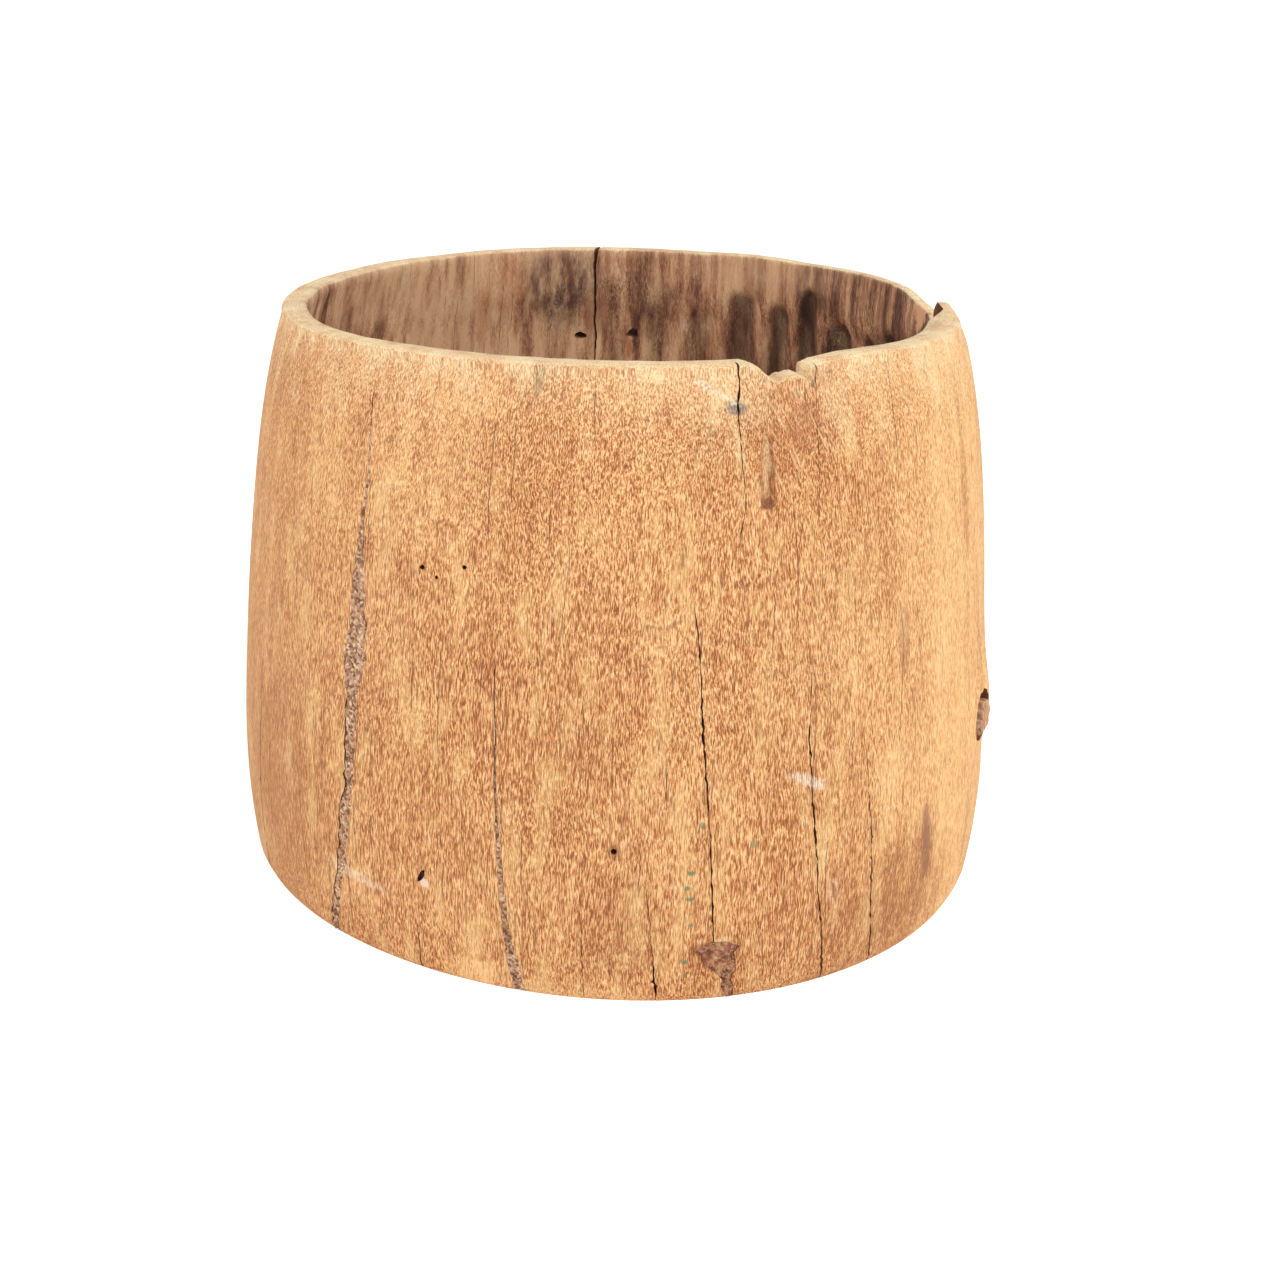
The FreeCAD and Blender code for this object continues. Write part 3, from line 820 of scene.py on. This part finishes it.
uneven = ranged(tree, stretched_noise(tree, place, 120.0, 0.4, 6.0, 0.7), 0.34, 0.66, 0.35, 1.45)
paler_share = add_node(tree, "ShaderNodeAttribute", {}, attribute_name="paler").outputs["Fac"]
paler_share = times(tree, paler_share, uneven)
darker_share = add_node(tree, "ShaderNodeAttribute", {}, attribute_name="darker").outputs["Fac"]
darker_share = times(tree, darker_share, uneven)
# painted light: a ramp across the width makes the outside paler and yellower on its right side, where the light falls
painted_light_right = ranged(tree, xyz[0], 0.09, 0.22)
# painted shade: a ramp across the width makes the outside darker and greyer on its left side, away from the light
painted_shade_left = ranged(tree, xyz[0], -0.12, -0.23)
upper = ranged(tree, plus(tree, xyz[2], times(tree, figure["Cloud"], 0.03)), 0.320, 0.356)
tint = weighed(tree, (
    (figure["Streak"], 0.24), (figure["Blotch"], 0.25), (figure["Cloud"], 0.34), (figure["Fibre"], 0.62),
    (figure["Fleck"], 0.07), (paler_share, 0.26), (darker_share, -0.26), (painted_light_right, 0.13), (upper, 0.10),
), -0.255)
bare = colour_ramp(tree, tint, (
    (0.24, tone(150, 86, 46)), (0.38, tone(191, 121, 71)), (0.50, tone(219, 149, 93)),
    (0.62, tone(240, 177, 118)), (0.76, tone(255, 211, 151)),
))
yellow = times(tree, ranged(tree, figure["Blotch"], 0.52, 0.66), 0.45)
bare = mixed(tree, yellow, bare, tone(244, 192, 122))
# painted shade on the left side
bare = mixed(tree, times(tree, painted_shade_left, 0.50), bare, tone(190, 138, 86))
# painted light on the right side
bare = mixed(tree, times(tree, painted_light_right, 0.22), bare, tone(255, 208, 136))
bare = mixed(tree, times(tree, upper, 0.15), bare, tone(250, 207, 160))
bare = mixed(tree, times(tree, figure["Pore"], 0.45), bare, tone(138, 86, 52))
bare = mixed(tree, times(tree, figure["Hairline"], 0.80), bare, tone(104, 56, 30))
scratched = mark_mask(tree, place, 291, 0.318, 0.046, 0.050, 0.0, 1.4)
scratches = times(tree, figure["Scratch"], times(tree, scratched, 0.60))
bare = mixed(tree, scratches, bare, tone(255, 220, 164))
bare = mixed(tree, times(tree, paler_share, 0.25), bare, tone(250, 204, 146))
bare = mixed(tree, times(tree, darker_share, 0.35), bare, tone(160, 100, 66))
green_speck = (98, 136, 100)
outside_marks = (
    (311.9, 0.1900, 0.0055, 0.0220, 0.0, 1.2, 0.45, (170, 106, 74)),
    (285.3, 0.3252, 0.0070, 0.0042, 0.1, 1.6, 0.85, (116, 104, 98)),
    (257.4, 0.3350, 0.0030, 0.0095, 0.1, 1.2, 0.45, (150, 138, 108)),
    (274.2, 0.2163, 0.0062, 0.0012, 0.10, 3.2, 0.42, (146, 90, 56)),
    (276.6, 0.2174, 0.0052, 0.0012, -0.42, 3.2, 0.42, (146, 90, 56)),
    (275.4, 0.2062, 0.0042, 0.0010, -0.10, 2.6, 0.45, (150, 96, 60)),
    (279.7, 0.0808, 0.0026, 0.0015, 0.2, 2.4, 0.85, green_speck),
    (279.3, 0.0720, 0.0026, 0.0015, 0.0, 2.4, 0.80, green_speck),
    (279.6, 0.0654, 0.0026, 0.0015, 0.0, 2.4, 0.85, green_speck),
    (279.7, 0.0563, 0.0018, 0.0010, 0.0, 2.0, 0.40, (110, 144, 104)),
    (279.8, 0.0495, 0.0016, 0.0013, 0.3, 2.0, 0.65, green_speck),
    (279.2, 0.0262, 0.0022, 0.0015, 0.0, 2.4, 0.80, green_speck),
    (279.3, 0.0175, 0.0014, 0.0019, 0.0, 2.0, 0.75, green_speck),
    (281.0, 0.1083, 0.0016, 0.0026, 0.0, 2.0, 0.60, green_speck),
    (288.0, 0.0949, 0.0026, 0.0024, 0.0, 1.0, 0.55, (128, 142, 98)),
    (318.2, 0.0640, 0.0060, 0.0290, -0.1, 1.2, 0.70, (142, 92, 66)),
    # the next two are painted shade in the gouge groove: along its sides and at its steep lower end
    (289.6, 0.2920, 0.0052, 0.0190, 0.0, 1.2, 0.50, (164, 108, 72)),
    (289.5, 0.2772, 0.0044, 0.0030, 0.0, 0.9, 0.70, (126, 82, 54)),
    (242.9, 0.0575, 0.0036, 0.0030, 0.5, 0.8, 0.85, (252, 226, 204)),
    (269.6, 0.0934, 0.0050, 0.0050, 0.0, 1.2, 0.45, (128, 80, 50)),
    (299.0, 0.3370, 0.0090, 0.0055, -0.3, 3.0, 0.40, (200, 136, 92)),
    # the next two dark specks are painted shade in the hollows of the crumbled rim beside the notch
    (297.3, 0.3345, 0.0012, 0.0022, 0.3, 2.0, 0.70, (92, 54, 36)),
    (300.6, 0.3392, 0.0030, 0.0010, -0.2, 2.0, 0.55, (110, 66, 44)),
    (294.6, 0.3150, 0.0075, 0.0150, 0.0, 2.0, 0.35, (180, 112, 76)),
)
for mark in outside_marks:
    bare = marked(tree, bare, place, outside, mark)
chalk_marks = (
    (282.4, 0.3335, 0.0135, 0.0020, 0.53, 3.6, 0.75, (255, 236, 208)),
    (295.4, 0.1268, 0.0135, 0.0034, 0.50, 3.4, 0.80, (255, 234, 206)),
    (230.8, 0.0462, 0.0270, 0.0036, 0.10, 3.2, 0.75, (255, 224, 184)),
    (284.4, 0.0392, 0.0060, 0.0022, -0.1, 3.2, 0.75, (255, 222, 168)),
    (281.4, 0.0392, 0.0034, 0.0020, -0.1, 3.2, 0.70, (255, 222, 168)),
    (289.6, 0.2950, 0.0026, 0.0160, 0.0, 2.2, 0.70, (255, 218, 164)),
    (299.8, 0.0588, 0.0045, 0.0075, 0.2, 1.0, 0.60, (248, 212, 172)),
)
raised_fibres = times(tree, outside, ranged(tree, figure["Fibre"], 0.05, 0.75, 0.30, 1.0))
for mark in chalk_marks:
    bare = marked(tree, bare, place, raised_fibres, mark)

sooty_streak = stretched_noise(tree, place, 130.0, 0.045, 4.0, 0.6)
# painted light and shade across the hollow: ramps on the sideways place make the inside lighter left of the middle
# and a little right of it, and darker at the far left and the far right
sooty_tint_and_shade = weighed(tree, (
    (figure["Streak"], 0.80), (sooty_streak, 1.10), (figure["Cloud"], 0.40), (figure["Blotch"], 0.50),
    (figure["Fibre"], 0.18), (ranged(tree, xyz[0], 0.04, -0.06), 0.15), (ranged(tree, xyz[0], -0.15, -0.175), -0.12),
    (ranged(tree, xyz[0], 0.085, 0.125), -0.16), (ranged(tree, xyz[0], 0.0, 0.035), 0.09),
    (ranged(tree, xyz[0], -0.07, -0.10), 0.04),
), -0.970)
sooty_and_shade = colour_ramp(tree, sooty_tint_and_shade, (
    (0.22, tone(72, 47, 36)), (0.38, tone(128, 87, 65)), (0.50, tone(172, 122, 91)),
    (0.62, tone(206, 155, 117)), (0.80, tone(238, 195, 152)),
))
sooty_and_shade = mixed(tree, times(tree, figure["Hairline"], 0.7), sooty_and_shade, tone(52, 34, 27))
sooty_and_shade = mixed(tree, paler_share, sooty_and_shade, tone(216, 172, 132))
sooty_and_shade = mixed(tree, darker_share, sooty_and_shade, tone(98, 68, 57))
inside_marks = (
    (115.5, 0.3120, 0.0110, 0.0260, 0.0, 1.4, 0.50, (190, 112, 74)),
    (121.0, 0.2960, 0.0070, 0.0250, 0.0, 1.4, 0.40, (196, 122, 82)),
    (96.5, 0.2900, 0.0110, 0.0180, 0.0, 1.4, 0.50, (150, 92, 60)),
    (17.5, 0.3240, 0.0095, 0.0140, 0.0, 3.0, 0.85, (242, 184, 146)),
    (89.5, 0.2660, 0.0020, 0.0080, 0.0, 1.0, 0.80, (206, 120, 66)),
    # the next two are painted highlights on the lit lower lips of the two lacing holes
    (99.6, 0.2765, 0.0055, 0.0022, 0.0, 1.0, 0.75, (214, 138, 84)),
    (89.4, 0.2790, 0.0075, 0.0020, 0.0, 1.2, 0.60, (196, 118, 70)),
)
for mark in inside_marks:
    sooty_and_shade = marked(tree, sooty_and_shade, place, inside, mark)
# painted shade: the inside darkens towards near black where the gouge scoops are deep
sooty_and_shade = mixed(tree, times(tree, ranged(tree, scoop_shade_share, 0.10, 0.75), 0.80), sooty_and_shade, tone(58, 40, 32))
sooty_and_shade = mixed(tree, times(tree, ranged(tree, xyz[2], 0.330, 0.339), 0.30), sooty_and_shade, tone(226, 184, 146))

wood = mixed(tree, inside, bare, sooty_and_shade)
round_about = add_node(tree, "ShaderNodeVectorMath", {0: place, 1: (1, 1, 0)}, operation="MULTIPLY").outputs[0]
from_middle = add_node(tree, "ShaderNodeVectorMath", {0: round_about}, operation="LENGTH").outputs["Value"]
ring_place = add_node(tree, "ShaderNodeCombineXYZ", {0: from_middle, 1: times(tree, xyz[0], 0.05)}).outputs[0]
year_rings = add_node(tree, "ShaderNodeTexNoise", {"Vector": ring_place, "Scale": 700.0, "Detail": 3.0}).outputs[0]
worn_tint = weighed(tree, ((figure["Blotch"], 1.5), (figure["Fibre"], 0.55), (year_rings, 1.0)), -0.85)
end_pores = add_node(tree, "ShaderNodeTexNoise", {"Vector": place, "Scale": 800.0, "Detail": 2.0}).outputs[0]
worn_rim = mixed(tree, worn_tint, tone(226, 166, 118), tone(255, 240, 194))
open_pores = times(tree, ranged(tree, end_pores, 0.52, 0.66), 0.35)
worn_rim = mixed(tree, open_pores, worn_rim, tone(182, 126, 88))
worn_share = plus(tree, rim_share, weighed(tree, ((figure["Blotch"], 1.8), (figure["Fibre"], 0.5)), -1.10))
wood = mixed(tree, times(tree, ranged(tree, worn_share, 0.15, 1.15), 0.82), wood, worn_rim)
rough = ranged(tree, figure["Streak"], 0.3, 0.7, 0.62, 0.80)
tree.links.new(rough, shader.inputs["Roughness"])
laid_on(tree, shader, wood, figure["Height"], 0.6, 0.0009, gloss=0.3)

tree, shader, place = surface_of(split_wood)
figure = add_node(tree, "ShaderNodeGroup", {"Vector": place}, node_tree=wood_figure).outputs
raw = colour_ramp(tree, figure["Streak"], (
    (0.3, tone(70, 44, 29)), (0.5, tone(112, 73, 47)), (0.7, tone(160, 110, 74)),
))
laid_on(tree, shader, raw, figure["Height"], 0.6, 0.0008, gloss=0.2)
shader.inputs["Roughness"].default_value = 0.85

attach(trunk, "root")
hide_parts("hollow_trunk")

# Fillers of the left check, the middle check and the broken spot at the foot
# A gritty paste of glue, sawdust and sand, pressed into the cleaned-out checks and left rough a little below
# the face of the wall. It is held by the rough sides of the checks alone.
gritty_paste = bpy.data.materials.new("gritty_paste")
tree, shader, place = surface_of(gritty_paste)
grains = add_node(tree, "ShaderNodeTexVoronoi", {"Vector": place, "Scale": 620.0, "Randomness": 1.0}).outputs
lumps = stretched_noise(tree, place, 130.0, 0.7, 4.0, 0.65)
grain_tint = add_node(tree, "ShaderNodeSeparateColor", {0: grains["Color"]}).outputs[0]
paste_tint = plus(tree, times(tree, grain_tint, 0.55), times(tree, lumps, 0.55))
paste = colour_ramp(tree, paste_tint, (
    (0.20, tone(86, 56, 40)), (0.36, tone(140, 99, 74)), (0.52, tone(176, 132, 102)), (0.70, tone(210, 168, 134)),
    (0.88, tone(246, 214, 180)),
))
paste_height = plus(tree, times(tree, grains["Distance"], -0.8), lumps)
laid_on(tree, shader, paste, paste_height, 0.8, 0.0012, gloss=0.2)
shader.inputs["Roughness"].default_value = 0.9


filler_low_end = 0.0008
filler_depth = 0.0060
filler_clearance = 0.0001
filler_lump = 0.0008


def pressed_filler(name, path, seed, sunk):
    """Filler in its channel: flat behind, lumpy in front."""
    chance = np.random.default_rng(seed + 100)
    sections = []
    for angle, height, width in stations_of(path, 3.5, seed, 0.09):
        height = max(filler_low_end, height)
        face = float(outside_radius(angle, height)) - 0.001 * sunk
        half = 0.5 * width - filler_clearance
        section = [
            on_wall(angle, height, -0.78 * half, face - filler_depth),
            on_wall(angle, height, 0.78 * half, face - filler_depth),
        ]
        for across in (1.0, 0.6, 0.2, -0.2, -0.6, -1.0):
            lump = filler_lump * chance.uniform(-1, 0.6) * min(1, width / 0.005)
            uneven = max(filler_low_end, height + 0.001 * chance.uniform(-1, 1))
            section.append(on_wall(angle, uneven, across * half, face + lump))
        sections.append(section)
    if sections[-1][0][2] <= filler_low_end and sections[-2][0][2] <= filler_low_end:
        sections.pop()
    piece = drawn_bar(name, sections)
    piece.data.materials.append(gritty_paste)
    bpy.ops.object.shade_smooth_by_angle(angle=math.radians(50))
    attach(piece, "root")
    return piece


left_filler = pressed_filler("left_filler", left_check, 41, 0.1)
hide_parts("crack_filler_left")
middle_filler = pressed_filler("middle_filler", middle_check, 42, 0.5)
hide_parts("crack_filler_middle")

# the broken spot was filled with a browner paste with pale chips of wood in it
chipped_paste = bpy.data.materials.new("chipped_brown_paste")
tree, shader, place = surface_of(chipped_paste)
lumps = stretched_noise(tree, place, 210.0, 0.8, 5.0, 0.68)
brown = colour_ramp(tree, lumps, (
    (0.32, tone(82, 48, 34)), (0.44, tone(128, 80, 56)), (0.54, tone(168, 114, 82)), (0.68, tone(214, 164, 126)),
))
chips = figured(tree, "SUBTRACT", stretched_noise(tree, place, 170.0, 1.0, 2.0, 0.6, 1.2), 0.5)
chips = ranged(tree, figured(tree, "ABSOLUTE", chips), 0.030, 0.008)
brown = mixed(tree, times(tree, chips, 0.55), brown, tone(226, 186, 152))
laid_on(tree, shader, brown, lumps, 0.6, 0.001, gloss=0.2)
shader.inputs["Roughness"].default_value = 0.85
foot_patch = pressed_filler("foot_patch", foot_break, 43, 0.4)
foot_patch.data.materials[0] = chipped_paste
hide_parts("foot_crack_patch")

# Dead knot on the right side
# The stub of a branch that died before the trunk grew round it: a dark ringed plug, loose in its hole.
# It has shrunk away from the wood around it and hangs a little low there.
stub_angle = knot_angle - 1.3
stub_half_width = 0.0100
stub_half_height = 0.0098
stub_half_depth = 0.0064
stub_sunk = 0.0050
stub_lowered = 0.0035
stub_slant = 0.0030
bpy.ops.object.select_all(action="DESELECT")
bpy.ops.mesh.primitive_uv_sphere_add(segments=28, ring_count=18, radius=1)
knot = bpy.context.object
knot.name = "branch_stub"
knot_face = float(outside_radius(knot_angle, knot_height))
placed = []
for x, y, z in corner_values(knot):
    lump = 1 + 0.16 * noise.noise(Vector((2.2 * x, 2.2 * y, 2.2 * z)))
    out = knot_face - stub_sunk + stub_half_depth * math.copysign(abs(z) ** 0.6, z) * lump
    up = knot_height - stub_lowered + stub_half_height * y * lump + stub_slant * x
    placed.append(on_wall(stub_angle, up, stub_half_width * x * lump, out))
put_corners(knot, placed)
face_outwards()
bpy.ops.object.shade_smooth()
knot_wood = bpy.data.materials.new("dead_knot_wood")
tree, shader, place = surface_of(knot_wood)
knot_middle = on_wall(knot_angle, knot_height - 0.0025, 0, knot_face)
knot_axis = math.radians(270 - knot_angle)
own_place = add_node(tree, "ShaderNodeVectorMath", {0: place, 1: knot_middle}, operation="SUBTRACT").outputs[0]
own_place = add_node(
    tree, "ShaderNodeVectorRotate", {"Vector": own_place, "Angle": knot_axis}, rotation_type="Z_AXIS"
).outputs[0]
rings = add_node(tree, "ShaderNodeTexWave", {
    "Vector": own_place, "Scale": 170.0, "Distortion": 1.2, "Detail": 2.0, "Detail Scale": 2.0,
}, wave_type="RINGS", rings_direction="Y").outputs[1]
stub_lumps = stretched_noise(tree, place, 160.0, 1.0, 4.0, 0.6)
ring_tint = plus(tree, times(tree, rings, 0.25), times(tree, stub_lumps, 0.75))
stub = colour_ramp(tree, ring_tint, (
    (0.2, tone(126, 80, 56)), (0.5, tone(200, 146, 108)), (0.8, tone(248, 206, 162)),
))
laid_on(tree, shader, stub, ring_tint, 0.6, 0.0008)
shader.inputs["Roughness"].default_value = 0.75
knot.data.materials.append(knot_wood)
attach(knot, "root")
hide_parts("dead_knot")

# Floor boards
# Three rough-sawn softwood boards cut to the round of the recess, let in from below against the shoulder.
# Each is nailed through the wall; five drain holes go through them.
floor_thickness = 0.022
floor_clearance = 0.0003
board_gap = 0.003
drain_hole = 0.016
drain_circle = 0.125
board_wood = bpy.data.materials.new("sawn_board_wood")
tree, shader, place = surface_of(board_wood)
along_board = add_node(tree, "ShaderNodeMapping", {"Vector": place, "Rotation": (0, math.radians(90), 0)}).outputs[0]
figure = add_node(tree, "ShaderNodeGroup", {"Vector": along_board}, node_tree=wood_figure).outputs
saw_lines = add_node(tree, "ShaderNodeTexWave", {
    "Vector": place, "Scale": 120.0, "Distortion": 1.5, "Detail": 2.0, "Detail Scale": 3.0,
}, bands_direction="X").outputs[1]
board_tint = plus(tree, times(tree, figure["Streak"], 0.65), times(tree, figure["Cloud"], 0.45))
board = colour_ramp(tree, figured(tree, "SUBTRACT", board_tint, 0.01), (
    (0.30, tone(104, 80, 62)), (0.45, tone(144, 114, 88)), (0.58, tone(172, 140, 110)), (0.72, tone(200, 168, 136)),
))
board = mixed(tree, times(tree, saw_lines, 0.15), board, tone(96, 74, 58))
board_height = plus(tree, figure["Height"], times(tree, saw_lines, 0.25))
laid_on(tree, shader, board, board_height, 0.6, 0.0008, gloss=0.2)
shader.inputs["Roughness"].default_value = 0.82

disc_angles = np.linspace(0, 360, 144, endpoint=False)
disc_radii = seat_radius(disc_angles) - floor_clearance
disc_low = float((disc_radii * np.sin(np.radians(disc_angles))).min())
disc_high = float((disc_radii * np.sin(np.radians(disc_angles))).max())
board_pitch = (disc_high - disc_low + board_gap) / 3
for row, place_name in enumerate(("front", "middle", "back")):
    bpy.ops.object.select_all(action="DESELECT")
    bpy.ops.mesh.primitive_circle_add(vertices=144, radius=1, fill_type="NGON", location=(0, 0, 0))
    floor_board = bpy.context.object
    floor_board.name = f"{place_name}_board"
    floor_board.data.materials.append(board_wood)
    points = corner_values(floor_board)
    turn = np.arctan2(points[:, 1], points[:, 0])
    reach = seat_radius(np.degrees(turn) % 360) - floor_clearance
    level = np.full(144, floor_top - floor_thickness)
    put_corners(floor_board, np.stack([reach * np.cos(turn), reach * np.sin(turn), level], axis=1))
    low_side = disc_low + row * board_pitch
    high_side = low_side + board_pitch - board_gap
    bpy.ops.object.mode_set(mode="EDIT")
    bpy.ops.mesh.select_all(action="SELECT")
    bpy.ops.mesh.extrude_region_move(TRANSFORM_OT_translate={"value": (0, 0, floor_thickness)})
    bpy.ops.mesh.select_all(action="SELECT")
    bpy.ops.mesh.normals_make_consistent(inside=False)
    if row > 0:
        bpy.ops.mesh.select_all(action="SELECT")
        bpy.ops.mesh.bisect(plane_co=(0, low_side, 0), plane_no=(0, 1, 0), use_fill=True, clear_inner=True)
    if row < 2:
        bpy.ops.mesh.select_all(action="SELECT")
        bpy.ops.mesh.bisect(plane_co=(0, high_side, 0), plane_no=(0, 1, 0), use_fill=True, clear_outer=True)
    bpy.ops.object.mode_set(mode="OBJECT")
    hole_places = {
        0: [(0, -drain_circle)],
        1: [(0, 0), (drain_circle, 0), (-drain_circle, 0)],
        2: [(0, drain_circle)],
    }[row]
    for hole_x, hole_y in hole_places:
        bpy.ops.object.select_all(action="DESELECT")
        bpy.ops.mesh.primitive_cylinder_add(
            vertices=28, radius=drain_hole / 2, depth=0.06, location=(hole_x, hole_y, floor_top)
        )
        drill = bpy.context.object
        drill.data.materials.append(board_wood)
        bpy.ops.object.transform_apply(location=True, rotation=True, scale=True)
        cut_out(floor_board, drill)
    bpy.ops.object.modifier_add(type="BEVEL")
    edge_wear = floor_board.modifiers[-1]
    edge_wear.width = 0.0009
    edge_wear.segments = 2
    edge_wear.limit_method = "ANGLE"
    edge_wear.angle_limit = math.radians(45)
    bpy.ops.object.modifier_apply(modifier=edge_wear.name)
    bpy.ops.object.shade_smooth_by_angle(angle=math.radians(35))
    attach(floor_board, "root")
    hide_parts(f"floor_board_{place_name}")

# Floor nails
# Six square-cut iron nails driven through the wall into the edges of the boards, their heads rusted and sunk.
# They keep the shape they have in the frame and only get their rust here.
nail_iron = bpy.data.materials.new("rusted_nail_iron")
tree, shader, place = surface_of(nail_iron)
rust_noise = stretched_noise(tree, place, 520.0, 1.0, 5.0, 0.65)
rust = colour_ramp(tree, rust_noise, ((0.3, tone(38, 30, 27)), (0.5, tone(84, 52, 37)), (0.7, tone(140, 84, 50))))
laid_on(tree, shader, rust, rust_noise, 0.6, 0.0005)
tree.links.new(ranged(tree, rust_noise, 0.35, 0.6, 0.45, 0.0), shader.inputs["Metallic"])
shader.inputs["Roughness"].default_value = 0.75
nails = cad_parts["floor_nails"]
nails.data.materials.clear()
nails.data.materials.append(nail_iron)

# Studio
# A white floor that keeps a soft shadow, a white surround, one broad lamp from the front right above and a weak one
# from the left, and the camera where the picture was taken.
def seen_rays(tree):
    """1 where the camera sees a surface, straight or in gloss or glass, and 0 for the light that reaches the pot."""
    rays = add_node(tree, "ShaderNodeLightPath", {}).outputs
    seen = figured(tree, "MAXIMUM", rays["Is Camera Ray"], rays["Is Glossy Ray"])
    return figured(tree, "MAXIMUM", seen, rays["Is Transmission Ray"])


bpy.ops.object.select_all(action="DESELECT")
bpy.ops.mesh.primitive_plane_add(size=60)
studio_floor = bpy.context.object
studio_floor.name = "studio_floor"
floor_paint = bpy.data.materials.new("white_floor")
floor_paint.use_nodes = True
tree = floor_paint.node_tree
tree.nodes.remove(tree.nodes["Principled BSDF"])
floor_glow = 0.62
matt = add_node(tree, "ShaderNodeBsdfDiffuse", {"Color": (0.85, 0.85, 0.85, 1)}).outputs[0]
glow = add_node(tree, "ShaderNodeEmission", {"Strength": times(tree, seen_rays(tree), floor_glow)}).outputs[0]
paint = add_node(tree, "ShaderNodeAddShader", {0: matt, 1: glow}).outputs[0]
tree.links.new(paint, tree.nodes["Material Output"].inputs["Surface"])
studio_floor.data.materials.append(floor_paint)

surround = bpy.data.worlds.new("white_surround")
surround.use_nodes = True
bpy.context.scene.world = surround
tree = surround.node_tree
surround_light = 0.5
surround_seen = 1 - surround_light
strength = plus(tree, times(tree, seen_rays(tree), surround_seen), surround_light)
tree.links.new(strength, tree.nodes["Background"].inputs["Strength"])
tree.nodes["Background"].inputs["Color"].default_value = (1, 1, 1, 1)


def soft_lamp(name, place, target, size, power):
    """Square soft lamp aimed at a point."""
    bpy.ops.object.light_add(type="AREA", location=place)
    lamp = bpy.context.object
    lamp.name = name
    lamp.data.size = size
    lamp.data.energy = power
    lamp.rotation_euler = (Vector(target) - Vector(place)).to_track_quat("-Z", "Y").to_euler()


soft_lamp("key_lamp", (1.9, -1.3, 2.0), (0, 0, 0.2), 0.9, 44)
soft_lamp("fill_lamp", (-2.0, -1.0, 1.4), (0, 0, 0.2), 1.5, 30)

pitch = 0.3676
roll = 0.0192
right = Vector((1, 0, 0))
up = Vector((0, math.sin(pitch), math.cos(pitch)))
ahead = Vector((0, math.cos(pitch), -math.sin(pitch)))
camera_right = math.cos(roll) * right + math.sin(roll) * up
camera_up = -math.sin(roll) * right + math.cos(roll) * up
camera_place = (0, -1.100, 0.5511)
bpy.ops.object.camera_add(location=camera_place)
camera = bpy.context.object
camera.name = "studio_camera"
turned = Matrix((camera_right, camera_up, -ahead)).transposed().to_4x4()
camera.matrix_world = Matrix.Translation(camera_place) @ turned
camera.data.sensor_width = 36
camera.data.lens = 52.48
camera.data.shift_x = 0.0109
camera.data.shift_y = -0.0021
camera.data.clip_end = 100
bpy.context.scene.camera = camera
bpy.context.scene.view_settings.view_transform = "Standard"
